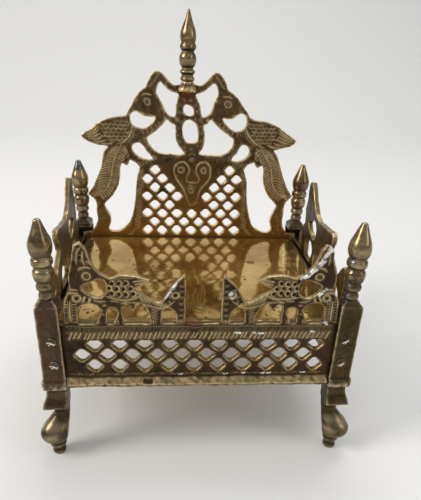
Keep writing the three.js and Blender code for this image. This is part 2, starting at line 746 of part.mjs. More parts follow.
// Seat: a polished sheet with its edges turned down inside the panels
function seatPlate() {
  const flangeBottom = seatHeight - seatFlangeHeight;
  const halfX = halfWidth - panelInnerInset - fitGap + splayAt(flangeBottom);
  const halfY = halfDepth - panelInnerInset - fitGap;
  const below = flangeBottom - seatEdgeRadius - cutOverrun;
  const outer = seatBody(halfX, halfY, seatCornerRadius, seatEdgeRadius, below, seatHeight);
  const hollow = seatBody(
    halfX - seatThickness, halfY - seatThickness, seatCornerRadius - seatThickness,
    seatHollowEdgeRadius, below - cutOverrun, seatHeight - seatThickness,
  );
  const trim = block([-throneWidth, -throneDepth, 0], [throneWidth, throneDepth, flangeBottom]);
  const hole = new THREE.CylinderGeometry(seatHoleRadius, seatHoleRadius, seatHeight, rivetSegments);
  hole.rotateX(Math.PI / 2);
  hole.translate(halfX / 2, halfY / 4, seatHeight);
  return cutAll(outer, [hollow, trim, toSolid(hole)]);
}

// Brass in the states that the throne shows
function brass(color, roughness) {
  return new THREE.MeshStandardMaterial({ color, roughness, metalness: 1 });
}

const throne = new THREE.Group();

function addMesh(name, geometry, material, parent = throne) {
  const mesh = new THREE.Mesh(geometry, material);
  mesh.name = name;
  parent.add(mesh);
  return mesh;
}

// Sets a panel upright with its outer face away from the middle, turned about the upright axis
function addPanel(name, geometry, distance, turn, color) {
  const holder = new THREE.Group();
  holder.rotation.z = turn;
  throne.add(holder);
  const mesh = addMesh(name, geometry, brass(color, 0.42), holder);
  mesh.rotation.x = Math.PI / 2;
  mesh.position.y = -distance;
}

function addPanels() {
  const frontDistance = halfDepth - panelInnerInset;
  const sideDistance = halfWidth - panelInnerInset;
  const sway = (x, y, z) => [x + crestSwayAt(y), y, z];
  const leanBy = (slope) => (x, y, z) => [x, y, z + sidePanelSplayAt(y, slope)];
  const right = toGeometry(sidePanel(1), leanBy(rightOrnamentSlope));
  const left = toGeometry(sidePanel(-1), leanBy(leftOrnamentSlope));
  addPanel('front_panel', toGeometry(frontPanel()), frontDistance, 0, 0x7a6338);
  addPanel('back_panel', toGeometry(backPanel(), sway), frontDistance, Math.PI, 0x6e5228);
  addPanel('right_side_panel', right, sideDistance, Math.PI / 2, 0x6f5a34);
  addPanel('left_side_panel', left, sideDistance, -Math.PI / 2, 0x6f5a34);
}

// One corner with its post, finial and rivets
function addCorner(name, right, back, post) {
  const corner = new THREE.Group();
  corner.position.set(right * halfWidth, back * halfDepth, 0);
  throne.add(corner);
  const place = (u, v, z) => [right * (splayAt(z) - u), -back * v, z];
  addMesh(`${name}_post`, toGeometry(post, place, right * back < 0), brass(0x5e4c2c, 0.4), corner);
  const finial = addMesh(
    `${name}_finial`,
    finialGeometry(cornerFinialShares, cornerFinialRadius, cornerFinialHeight),
    brass(0x8a744a, 0.25),
    corner,
  );
  const finialBase = postTop + capRise + fitGap;
  finial.position.set(right * (splayAt(finialBase) - finialAxisInset), -back * finialAxisInset, finialBase);
  finial.rotation.y = right * THREE.MathUtils.degToRad(splayAngle);
  const levels = ['lower', 'upper'];
  rivetHeights.forEach((height, level) => {
    const lean = right * splayAt(height);
    const stem = `${name}_${levels[level]}`;
    const face = addMesh(`${stem}_face_rivet`, rivetGeometry(), brass(0x9a927c, 0.35), corner);
    face.rotation.x = back * -Math.PI / 2;
    face.position.set(lean - right * rivetFrontInset, 0, height);
    const side = addMesh(`${stem}_side_rivet`, rivetGeometry(), brass(0x9a927c, 0.35), corner);
    side.rotation.y = right * Math.PI / 2;
    side.position.set(lean, -back * rivetSideInset, height);
  });
}

function addCorners() {
  const post = postSolid();
  addCorner('front_left', -1, -1, post);
  addCorner('front_right', 1, -1, post);
  addCorner('rear_left', -1, 1, post);
  addCorner('rear_right', 1, 1, post);
}

addMesh('seat_plate', toGeometry(seatPlate()), brass(0xb08a45, 0.15));
addPanels();
addCorners();
const crown = addMesh(
  'crown_finial',
  finialGeometry(crownFinialShares, crownFinialRadius, crownFinialHeight),
  brass(0x8a744a, 0.25),
);
crown.position.set(-crestSwayAt(crownSeat), halfDepth - panelInset - panelThickness / 2, crownSeat + fitGap);

export default throne;
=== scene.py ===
"""The looks of a small brass throne for a household deity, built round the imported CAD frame."""
import math

import bpy
import bmesh
import numpy as np
from mathutils import Matrix, Vector


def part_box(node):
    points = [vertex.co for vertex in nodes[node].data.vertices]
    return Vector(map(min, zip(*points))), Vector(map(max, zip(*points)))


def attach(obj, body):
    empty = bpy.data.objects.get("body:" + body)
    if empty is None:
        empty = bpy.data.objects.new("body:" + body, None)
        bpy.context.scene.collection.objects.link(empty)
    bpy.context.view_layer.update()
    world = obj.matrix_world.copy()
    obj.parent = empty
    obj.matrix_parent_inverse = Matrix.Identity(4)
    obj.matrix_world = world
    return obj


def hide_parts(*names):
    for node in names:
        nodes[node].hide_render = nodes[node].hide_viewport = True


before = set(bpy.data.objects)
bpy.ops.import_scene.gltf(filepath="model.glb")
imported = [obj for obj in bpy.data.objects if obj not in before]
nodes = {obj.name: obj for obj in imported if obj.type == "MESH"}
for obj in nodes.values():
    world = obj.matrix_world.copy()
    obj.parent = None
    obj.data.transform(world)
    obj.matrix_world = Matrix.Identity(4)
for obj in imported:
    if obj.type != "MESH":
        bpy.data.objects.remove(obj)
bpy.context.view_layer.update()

MM = 0.001
PANEL_VOXEL = 0.3
POST_VOXEL = 0.34
SEAT_VOXEL = 0.5
TURNED_SIDES = 56
LEG_SIDES = 40
MOST_FACES = 195_000

# Sizes of the frame that the marks and fine shapes follow, in millimetres
LEG_HEIGHT = 39.0
SEAT_HEIGHT = 64.0
POST_WIDTH = 9.3
POST_TOP = 72.5
FLANGE = 2.0
CAP_RISE = 2.6
CAP_TOP = 2.6
HALF_WIDTH = 65.0
HALF_DEPTH = 57.0
FRONT_FACE = -54.7
BACK_INNER_FACE = 52.2
BACK_OUTER_FACE = 54.7
SIDE_FACE = 62.7
MOULDING_TOP = 39.4
WARM_TOP = 108.0
SEAT_FLAT = (57.5, 48.5)
FIT_GAP = 0.3
CORNER_RADIUS, CORNER_RISE = 4.75, 33.0
CROWN_RADIUS, CROWN_RISE = 4.6, 35.4
TENON_RADIUS, TENON_DEPTH = 1.3, 3.6
LEAN = math.radians(2.6)
SPLAY = math.tan(LEAN)
RIGHT_SPLAY = math.tan(math.radians(-0.2))
LEFT_SPLAY = math.tan(math.radians(2.0))
SWAY = math.tan(math.radians(6.0))
SWAY_START = 108.0
SWAY_REACH = 37.6


def lean_at(z):
    """How far a corner post stands out at a height."""
    return SPLAY * np.maximum(0.0, z - LEG_HEIGHT)


def side_lean_at(z, slope):
    """How far a side panel stands out at a height."""
    return lean_at(np.minimum(z, SEAT_HEIGHT)) + slope * np.maximum(0.0, z - SEAT_HEIGHT)


def sway_at(z):
    """How far the crest of the back stands to the left at a height."""
    return SWAY * np.clip(z - SWAY_START, 0.0, SWAY_REACH)


def make_camera():
    """The camera, at the place and angle of the photograph."""
    yaw, pitch, roll = 0.08996, 0.37025, 0.04045
    place = Vector((-15.395, -252.197, 174.050)) * MM
    forward = Vector((math.sin(yaw) * math.cos(pitch), math.cos(yaw) * math.cos(pitch), -math.sin(pitch)))
    level_right = Vector((math.cos(yaw), -math.sin(yaw), 0.0))
    level_up = level_right.cross(forward)
    right = math.cos(roll) * level_right + math.sin(roll) * level_up
    up = -math.sin(roll) * level_right + math.cos(roll) * level_up
    data = bpy.data.cameras.new("camera")
    data.lens = 39.37
    data.sensor_width = 36.0
    data.clip_start = 0.01
    camera = bpy.data.objects.new("camera", data)
    turned = Matrix((right, up, -forward)).transposed().to_4x4()
    turned.translation = place
    camera.matrix_world = turned
    bpy.context.scene.collection.objects.link(camera)
    bpy.context.scene.camera = camera


class Tree:
    """A material's node tree, filled by short calls."""

    def __init__(self, name):
        self.material = bpy.data.materials.new(name)
        self.material.use_nodes = True
        self.tree = self.material.node_tree
        self.tree.nodes.clear()
        self.place = self.add("ShaderNodeTexCoord", output=3)

    def add(self, kind, inputs=(), output=0, **settings):
        node = self.tree.nodes.new(kind)
        for key, value in settings.items():
            setattr(node, key, value)
        for key, value in dict(inputs).items():
            if isinstance(value, bpy.types.NodeSocket):
                self.tree.links.new(value, node.inputs[key])
            else:
                node.inputs[key].default_value = value
        return node.outputs[output]

    def finish(self, shader):
        out = self.tree.nodes.new("ShaderNodeOutputMaterial")
        self.tree.links.new(shader, out.inputs[0])
        return self.material

    def math(self, operation, a, b, clamp=False):
        return self.add("ShaderNodeMath", {0: a, 1: b}, operation=operation, use_clamp=clamp)

    def plus(self, a, b, clamp=False):
        return self.math("ADD", a, b, clamp)

    def minus(self, a, b, clamp=False):
        return self.math("SUBTRACT", a, b, clamp)

    def times(self, a, b, clamp=False):
        return self.math("MULTIPLY", a, b, clamp)

    def most(self, a, b, clamp=False):
        return self.math("MAXIMUM", a, b, clamp)

    def mix(self, share, a, b):
        return self.add("ShaderNodeMix", {0: share, 6: a, 7: b}, output=2, data_type="RGBA")

    def attribute(self, name):
        return self.add("ShaderNodeAttribute", attribute_name=name, output=2)

    def between(self, value, low, high, to_low=0.0, to_high=1.0):
        ends = {"Value": value, 1: low, 2: high, 3: to_low, 4: to_high}
        return self.add("ShaderNodeMapRange", ends, clamp=True)

    def noise(self, place, scale, detail=3.0, roughness=0.55):
        return self.add(
            "ShaderNodeTexNoise", {"Vector": place, "Scale": scale, "Detail": detail, "Roughness": roughness}
        )


def rgba(red, green, blue):
    return (red, green, blue, 1.0)


# Soot colour, also used for painted shade.
SOOT_AND_SHADE = rgba(0.014, 0.0105, 0.007)
RED_TARNISH = rgba(0.12, 0.045, 0.022)
SILVER = (rgba(0.13, 0.12, 0.105), rgba(0.86, 0.84, 0.79))


def patina_of(t, broad, middle, fine, dark, body):
    """Dark and clear patches of three sizes, with a reddish tarnish here and there."""
    patina = t.plus(t.plus(t.times(broad, 0.5), t.times(middle, 0.34)), t.times(fine, 0.16))
    color = t.mix(t.between(patina, 0.41, 0.59), dark, body)
    blush = t.times(t.between(t.noise(t.place, 150.0, 3.0, 0.5), 0.54, 0.68), 0.4)
    return t.mix(t.times(t.most(blush, t.attribute("blush")), 0.75), color, RED_TARNISH)


def warmth_of(t):
    """How warm the back glows: most near the seat and on its inner face."""
    height = t.add("ShaderNodeSeparateXYZ", {0: t.place}, output=2)
    depth = t.add("ShaderNodeSeparateXYZ", {0: t.place}, output=1)
    inner = t.between(depth, (BACK_OUTER_FACE - 0.5) * MM, (BACK_INNER_FACE + 0.8) * MM, 0.25, 0.9)
    return t.times(t.between(height, WARM_TOP * MM, SEAT_HEIGHT * MM), inner)


def brass(name, dark, body, bright, shine, wear=1.0, pits=0.4, metal=0.85, warm=None, residue=SILVER,
          stain=SOOT_AND_SHADE):
    """Aged brass: patina in patches, bright wear on edges and cuts with painted highlights among it, soiling
    in hollows with painted shade among it, pits and scuffs.

    The shine is the lowest and the highest roughness, and the height of the bumps in millimetres.
    """
    t = Tree(name)
    broad = t.noise(t.place, 70.0, 4.0, 0.6)
    middle = t.noise(t.place, 420.0, 4.0, 0.6)
    fine = t.noise(t.place, 2600.0, 3.0, 0.6)
    ways = (((0.4, 0.5, 0.7), (4200.0, 240.0, 240.0)), ((0.3, 0.9, 0.2), (240.0, 240.0, 3600.0)))
    scuffs = [
        t.noise(t.add("ShaderNodeMapping", {0: t.place, 2: turn, 3: scale}), 1.0, 2.0) for turn, scale in ways
    ]
    scuff = t.between(t.most(*scuffs), 0.67, 0.73)
    cells = t.add("ShaderNodeTexVoronoi", {"Vector": t.place, "Scale": 620.0, "Randomness": 1.0})
    pit = t.times(t.between(cells, 0.2, 0.06), t.between(middle, 0.52, 0.66))
    edge, cut, grime_and_shade, solder, spot = (t.attribute(key) for key in ("edge", "cut", "grime_and_shade", "solder", "stain"))

    color = patina_of(t, broad, middle, fine, dark, body)
    if warm:
        color = t.mix(warmth_of(t), color, warm)
    # Bright wear on edges and graver lines, with the painted highlights on knees, rivets and opening walls
    # among it.
    wear_and_highlight = t.plus(t.times(t.times(edge, t.between(middle, 0.3, 0.6, 0.3, 1.25)), wear), cut)
    wear_and_highlight = t.times(wear_and_highlight, t.between(fine, 0.3, 0.55, 0.6, 1.05), clamp=True)
    color = t.mix(t.most(wear_and_highlight, t.times(scuff, 0.16 * wear)), color, bright)
    # Soiling in hollows and pits, with the painted shade passed in among it.
    dirt_and_shade = t.times(grime_and_shade, t.between(fine, 0.25, 0.6, 0.65, 1.1))
    dirt_and_shade = t.most(dirt_and_shade, t.times(pit, pits), clamp=True)
    color = t.mix(t.times(dirt_and_shade, 0.92), color, SOOT_AND_SHADE)
    color = t.mix(solder, color, t.mix(t.between(middle, 0.42, 0.52), residue[0], residue[1]))
    color = t.mix(spot, color, stain)

    dull = t.most(dirt_and_shade, spot)
    rough = t.plus(t.between(middle, 0.3, 0.7, shine[0], shine[1]), t.times(dull, 0.3))
    rough = t.minus(rough, t.times(wear_and_highlight, 0.08), clamp=True)
    metallic = t.minus(metal, t.times(dull, 0.5))
    height = t.plus(t.times(middle, 0.7), t.times(fine, 0.25))
    height = t.minus(t.minus(height, t.times(pit, pits * 1.6)), t.times(scuff, 0.12))
    bump = t.add("ShaderNodeBump", {"Strength": 0.5, "Distance": shine[2] * MM, "Height": height})
    return t.finish(t.add(
        "ShaderNodeBsdfPrincipled",
        {"Base Color": color, "Metallic": metallic, "Roughness": rough, "Specular IOR Level": 0.2,
         "Normal": bump},
    ))


def ripple(points, wavelength, seed, waves=9):
    """A smooth random height for each point, about one in size."""
    rng = np.random.default_rng(seed)
    total = np.zeros(len(points))
    for _ in range(waves):
        direction = rng.normal(size=3)
        direction /= np.linalg.norm(direction)
        turns = 2.0 * math.pi / (wavelength * rng.uniform(0.7, 1.6))
        total += np.sin(points @ direction * turns + rng.uniform(0, 2 * math.pi))
    return total / math.sqrt(waves)


def smooth_line(points, spacing=0.5):
    """A smooth run of points through the given ones."""
    p = np.array(points, float)
    if len(p) == 2:
        return p
    padded = np.vstack([2 * p[0] - p[1], p, 2 * p[-1] - p[-2]])
    run = []
    for a, b, c, d in zip(padded[:-3], padded[1:-2], padded[2:-1], padded[3:]):
        steps = max(2, int(np.linalg.norm(c - b) / spacing))
        for share in np.arange(steps) / steps:
            run.append(0.5 * (2 * b + (c - a) * share + (2 * a - 5 * b + 4 * c - d) * share**2
                              + (3 * b - a - 3 * c + d) * share**3))
    run.append(p[-1])
    return np.array(run)


def round_run(centre, radius, start=0, end=360, count=21, rise=None):
    """Points along a part of a circle, or of an oval where its rise is given."""
    turns = np.linspace(math.radians(start), math.radians(end), count)
    rise = radius if rise is None else rise
    return [(centre[0] + radius * math.cos(a), centre[1] + rise * math.sin(a)) for a in turns]


class Relief:
    """The marks of graver and punch over one face, in fine squares."""

    def __init__(self, low, high, step=0.12):
        self.low = np.array(low, float)
        self.step = step
        count = np.ceil((np.array(high) - self.low) / step).astype(int) + 1
        grids = np.zeros((7, *count), np.float32)
        self.cut, self.depth, self.burr, self.solder, self.dark, self.stain, self.blush = grids

    def near(self, run, reaches):
        """For each stretch of a line: its count, the squares within reach and how far they lie from it."""
        for at, (a, b, reach) in enumerate(zip(run[:-1], run[1:], reaches)):
            low = np.floor((np.minimum(a, b) - reach - self.low) / self.step).astype(int)
            high = np.ceil((np.maximum(a, b) + reach - self.low) / self.step).astype(int) + 1
            low = np.maximum(low, 0)
            high = np.minimum(high, self.cut.shape)
            if np.any(high <= low):
                continue
            xs = (self.low[0] + np.arange(low[0], high[0]) * self.step)[:, None]
            ys = (self.low[1] + np.arange(low[1], high[1]) * self.step)[None, :]
            along = b - a
            length = float(along @ along)
            share = 0.0
            if length > 0:
                share = np.clip(((xs - a[0]) * along[0] + (ys - a[1]) * along[1]) / length, 0.0, 1.0)
            away = np.hypot(xs - a[0] - share * along[0], ys - a[1] - share * along[1])
            yield at, (slice(low[0], high[0]), slice(low[1], high[1])), away

    def raise_to(self, grid, spot, values):
        grid[spot] = np.maximum(grid[spot], values)

    def groove(self, points, width=0.75, depth=0.3, cut=1.0, smooth=True, taper=True, painted_shade_halo=0.6):
        """A graver's line, narrower at its ends, with painted shade along both sides."""
        run = smooth_line(points) if smooth else np.array(points, float)
        count = len(run) - 1
        shares = (np.arange(count) + 0.5) / count
        eases = np.ones(count)
        if taper and count > 2:
            eases = np.minimum(1.0, 0.45 + 2.2 * np.minimum(shares, 1 - shares))
        halves = width * eases / 2
        for at, spot, away in self.near(run, halves * 2.4):
            away, ease = away / halves[at], eases[at]
            profile = np.clip(1 - away**2, 0, 1)
            self.raise_to(self.depth, spot, profile * depth * ease)
            self.raise_to(self.cut, spot, np.sqrt(profile) * cut)
            self.raise_to(self.burr, spot, np.clip(1 - ((away - 1.4) / 0.6) ** 2, 0, 1) * depth * ease * 0.3)
            # The dark ring just beside the line is painted shade.
            self.raise_to(self.dark, spot, np.clip(1 - ((away - 1.55) / 0.75) ** 2, 0, 1) * painted_shade_halo * ease)

    def ring(self, centre, radius, width=0.6, depth=0.28, cut=0.9):
        self.groove(round_run(centre, radius), width, depth, cut, smooth=False, taper=False)

    def dot(self, centre, radius=0.5, depth=0.3, cut=0.3):
        beside = (centre[0] + 0.01, centre[1])
        self.groove([centre, beside], radius * 2, depth, cut, smooth=False, taper=False)

    def arc(self, centre, radius, start, end, width=0.6, depth=0.28, cut=0.9):
        self.groove(round_run(centre, radius, start, end, 9), width, depth, cut, smooth=False)

    def patch(self, grid, points, radius, strength=1.0, depth=0.0):
        """A soft edged patch along a line, such as a smudge, a stain or a punched hollow."""
        run = smooth_line(points) if len(points) > 1 else np.array([points[0], points[0]], float)
        for _, spot, away in self.near(run, [radius] * len(run)):
            profile = np.clip(1.6 * (1 - (away / radius) ** 2), 0, 1)
            self.raise_to(grid, spot, profile * strength)
            self.raise_to(self.depth, spot, profile * depth)

    def blob(self, points, radius, height):
        """Solder left on the face along a line, now wide, now narrow."""
        run = smooth_line(points)
        count = np.arange(len(run))
        reaches = radius * (0.75 + 0.35 * np.sin(count * 1.9) + 0.2 * np.sin(count * 0.7 + 1))
        for at, spot, away in self.near(run, reaches):
            profile = np.clip(1 - (away / reaches[at]) ** 2, 0, 1)
            self.raise_to(self.solder, spot, profile)
            self.raise_to(self.burr, spot, profile * height)

    def read(self, grid, u, v):
        """Values of a grid at points, blended between squares."""
        x = np.clip((u - self.low[0]) / self.step, 0, grid.shape[0] - 1.001)
        y = np.clip((v - self.low[1]) / self.step, 0, grid.shape[1] - 1.001)
        i, j = x.astype(int), y.astype(int)
        a, b = x - i, y - j
        return (grid[i, j] * (1 - a) * (1 - b) + grid[i + 1, j] * a * (1 - b)
                + grid[i, j + 1] * (1 - a) * b + grid[i + 1, j + 1] * a * b)


def inside(polygon, x, y):
    """Whether a point lies in a polygon."""
    odd = False
    for (ax, ay), (bx, by) in zip(polygon, polygon[1:] + polygon[:1]):
        if (ay > y) != (by > y) and x < (bx - ax) * (y - ay) / (by - ay) + ax:
            odd = not odd
    return odd


def band_marks(relief, half, seed):
    """Hatched rail and scalloped foot of the band below the seat."""
    rng = np.random.default_rng(seed)
    for z, width, depth, cut in ((63.3, 0.5, 0.16, 0.35), (60.6, 0.55, 0.2, 0.3), (57.3, 0.5, 0.14, 0.15)):
        relief.groove([(-half, z), (half, z)], width, depth, cut, smooth=False, taper=False)
    for x in np.arange(-half + 1, half - 1, 1.9):
        slip, low, strong = rng.normal(0, 0.12), rng.normal(0, 0.15), rng.uniform(0.8, 1.1)
        hatch = [(x + slip, 57.6 + low), (x + slip + 1.2, 60.3)]
        relief.groove(hatch, 0.7, 0.45, strong, smooth=False, painted_shade_halo=1.0)
    for x in np.arange(-half + 1, half - 1, 1.3):
        slip, strong = rng.normal(0, 0.15), rng.uniform(0.0, 0.3)
        relief.groove([(x + slip, 61.0), (x + slip + 0.8, 63.1)], 0.4, 0.2, strong, smooth=False)
    for x in np.arange(-half + 1.5, half - 1.5, 2.1):
        relief.arc((x + rng.normal(0, 0.15), 40.1), 0.85, 10, 170, 0.42, 0.2, rng.uniform(0.3, 0.7))


def bird_marks(relief, place, scale, seed, side=False):
    """The marks of one peacock, in millimetres on the front, which a function places on the panel."""
    rng = np.random.default_rng(seed)

    def line(points, width=0.7, depth=0.32, cut=0.95):
        relief.groove([place(p) for p in points], width * scale * 0.88, depth, cut)

    def curve(centre, radius, start=0, end=360, width=0.7, depth=0.32, cut=0.95):
        run = [place(p) for p in round_run(centre, radius, start, end, 15)]
        relief.groove(run, width * scale, depth, cut, smooth=False, taper=end - start < 360)

    def hollow(centre, radius, strength=0.95, depth=0.2):
        relief.patch(relief.dark, [place(centre)], radius * scale, strength, depth)

    # Head: eye, brow and the leaf of the crest
    hollow((45.9, 21.6), 0.9, 0.7)
    curve((45.9, 21.6), 1.5, width=0.55)
    curve((45.9, 21.6), 0.45, width=0.4, depth=0.1, cut=0.3)
    line([(48.6, 23.9), (47.4, 25), (45.6, 25.3), (43.9, 25)], 0.8)
    hollow((47.9, 29.4), 0.8, 0.8)
    hollow((48, 31.2), 0.6, 0.8)
    line([(48.9, 26.4), (49.4, 29.6), (48.9, 32.3), (47.6, 33.6)], 0.6)
    line([(46, 26.3), (46.9, 28.6), (47.2, 31), (46.9, 32)])
    line([(44.4, 27.2), (45.2, 28)])
    # Neck bars, chest ring and the beaded pillar
    line([(52.2, 15.9), (50.4, 15.7), (49.4, 15.8)], 0.75)
    line([(53, 14.3), (51, 14.4), (49.2, 14.2)], 0.8)
    hollow((49.9, 12), 0.7, 0.8)
    curve((49.9, 12), 1.5)
    line([(53.9, 13), (54.7, 10.6), (54.9, 8)], 0.55)
    line([(52.6, 10.6), (52.7, 6), (52.5, 0.9)], 0.75)
    for up in np.arange(1.2, 10.6, 1.15):
        line([(50.2, up), (51.8, up + 0.1)], 0.55, 0.34, rng.uniform(0.4, 0.8))
        line([(53.5, up), (54.9, up - 0.1)], 0.55, 0.34, rng.uniform(0.4, 0.8))
        hollow((51, up + 0.57), 0.55, 0.9, 0.12)
        hollow((54.2, up + 0.5), 0.5, 0.9, 0.12)
    # Paired bars and the belly
    hollow((46.1, 11.4), 0.7)
    line([(46.8, 12.6), (47.6, 10.4)], 0.85, 0.34, 1.0)
    line([(44.8, 12), (45.4, 10.3)], 0.85, 0.34, 1.0)
    line([(43.4, 11.2), (40.8, 10.6), (38.6, 10.6)], 0.6)
    line([(36.6, 10.8), (34.6, 10.9), (33.4, 10.5)], 0.65)
    line([(32.4, 10), (30.6, 10.2)], 0.65)
    line([(39.8, 8.8), (38.6, 8.9)], 0.65)
    # Wing: rim, scallops and long feathers
    line([(38.2, 12.6), (35, 11.9), (31.4, 11.5), (27.8, 12), (25.2, 13.2), (23.2, 14.5)], 0.85, 0.34, 1.0)
    line([(36.6, 19.8), (34, 20.4), (31, 20.9), (27.6, 20.8)], 0.5, 0.24, 0.6)
    rows = [(18.6, 35.6, 3), (16.3, 36.6, 4), (14.1, 35.8, 4)] + [(20.8, 34.6, 3)] * side
    for up, starts, count in rows:
        for index in range(count):
            across = starts - 2.75 * index
            lift = rng.normal(0, 0.12)
            hollow((across + 0.3, up + lift), 0.75, 0.7, 0.3)
            curve((across + 0.5, up + lift), 1.25, 60, 290, 0.6, 0.2, rng.uniform(0.7, 1.0))
    feathers = [[(27.6, 19.3), (22.2, 20.2)], [(26.9, 18), (22, 19.4)], [(25.8, 16.9), (23.6, 18.2)],
                [(25.9, 15.6), (24.4, 16.6)], [(26.2, 14.4), (24, 15.4)]]
    if side:
        feathers = [[(27.6, 21.6), (21.9, 22.7)], [(27.2, 20), (21.4, 21.2)], [(26.8, 18.5), (21.7, 19.5)],
                    [(26.2, 17), (22.6, 17.9)], [(25.9, 15.4), (24, 16.2)]]
    for feather in feathers:
        line(feather, 0.68)
    # Tail: two long lines with slanted barbs between them
    line([(31, 10.6), (26, 9.9), (22, 8.8), (18.2, 7.7), (15.2, 8), (12.6, 9.4), (11, 10.6)], 0.7, 0.3)
    for index in range(8):
        across, up = 25.0 - 1.45 * index, 12.7 - 0.46 * index
        line([(across, up), (across - 1.2, up - 2.0)], 0.72, 0.4, rng.uniform(0.8, 1.0))
    # Flame: its ring and the marks down the support
    flame, radius, top = ((9.0, 12.4), 1.1, 15.3) if side else ((10.9, 13.4), 1.4, 17.7)
    hollow(flame, radius * 0.6, 0.8)
    curve(flame, radius)
    for up in (17.6, 15.2, 12.4, 9.6, 6.9, 4.2, 1.6):
        if up < top:
            line([(9.3, up + 0.5), (8.5, up - 0.3), (7.7, up + 0.4)], 0.55, 0.28, 0.6)
            hollow((8.5, up + 1.2), 0.6, 0.8, 0.1)
    if not side:
        for up in (13.2, 10.9):
            line([(13.4, up), (12.8, up - 1.2)], 0.55, 0.28, 0.7)
    # Feet of the legs and of the supports
    for across in (41.9, 34.8, 19.6, 8.6):
        for step in (-1.0, 0.0, 1.0):
            line([(across + step, 0.5), (across + step * 0.7, 2.3)], 0.45, 0.28, rng.uniform(0.4, 0.9))
    for up in np.arange(2.6, 7.4, 1.2):
        line([(20.4, up + 1), (18.2, up)], 0.5, 0.3, 0.7)
    for spot in ((40.2, 6.6), (39.8, 4.8), (35.4, 6.4), (35.2, 4.8), (30.4, 9.4), (31.8, 8.2)):
        relief.dot(place(spot), 0.45, 0.2, 0.6)


def front_relief():
    """The marks of the front panel: its band, two peacocks, stains, nicks and solder."""
    relief = Relief((-63, 34), (63, 102))
    band_marks(relief, 55.0, 3)
    bird_marks(relief, lambda p: (p[0] + 1.2, SEAT_HEIGHT + p[1]), 1.0, 4)
    bird_marks(relief, lambda p: (-p[0], SEAT_HEIGHT + p[1]), 1.0, 5)
    # Smudge and red stain on the rail, nicks and a notch in the moulding, white marks above it
    relief.patch(relief.dark, [(-3.4, 61), (-2.2, 58.4)], 1.7, 0.9)
    relief.patch(relief.stain, [(-6.4, 64.2), (0.4, 64.2)], 0.9, 0.85)
    relief.patch(relief.dark, [(-23.2, 37.8), (-20.6, 37.8)], 1.0, 0.85, 0.3)
    rng = np.random.default_rng(21)
    for x in (-47.5, -44.8, -43.1, -40.7, -39.6, -36.2, -25.8, 31.4, 50.3, 51.8):
        relief.patch(relief.dark, [(x, 36.1), (x + rng.normal(0, 0.7), 36.8)], 0.36, 0.7, 0.12)
    for x in (11.0, 18.4, 27.0, 29.6, -8.2, 44.6):
        relief.blob([(x - 0.8, 40.4), (x + 0.7, 40.7)], 0.42, 0.1)
    # Solder on the crest and the flames of the birds, and along the rail
    for radius, height, points in (
        (1.2, 0.4, [(51.2, 98.4), (48.8, 94.6), (46.6, 90.6), (43.2, 87.4), (39.8, 84.6)]),
        (0.75, 0.25, [(12.8, 79.6), (11.6, 78.6), (11.2, 77.2), (12.2, 76.2), (12.4, 77.8)]),
        (0.9, 0.25, [(50.6, 80), (48, 77.6)]),
        (0.55, 0.12, [(14, 60.4), (16.5, 60.1)]),
        (0.5, 0.12, [(22, 60.4), (26, 60.2)]),
        (0.6, 0.15, [(46, 60.8), (48.6, 60.2)]),
        (0.8, 0.2, [(50.6, 66), (52.4, 64.2)]),
        (0.8, 0.25, [(-15.4, 76.2), (-12.8, 79.4), (-10.4, 83.6)]),
    ):
        relief.blob(points, radius, height)
    relief.patch(relief.blush, [(49.6, 97), (47.4, 92.4)], 2.6, 0.8)
    return relief


def side_relief():
    """The marks of a side panel: its band and one larger peacock."""
    relief = Relief((-55, 34), (55, 110))
    band_marks(relief, 44.5, 6)
    wide, tall = 1.5708, 1.189
    bird_marks(relief, lambda p: (-43.7 + (p[0] - 6.8) * wide, SEAT_HEIGHT + p[1] * tall), 1.25, 7, True)
    return relief


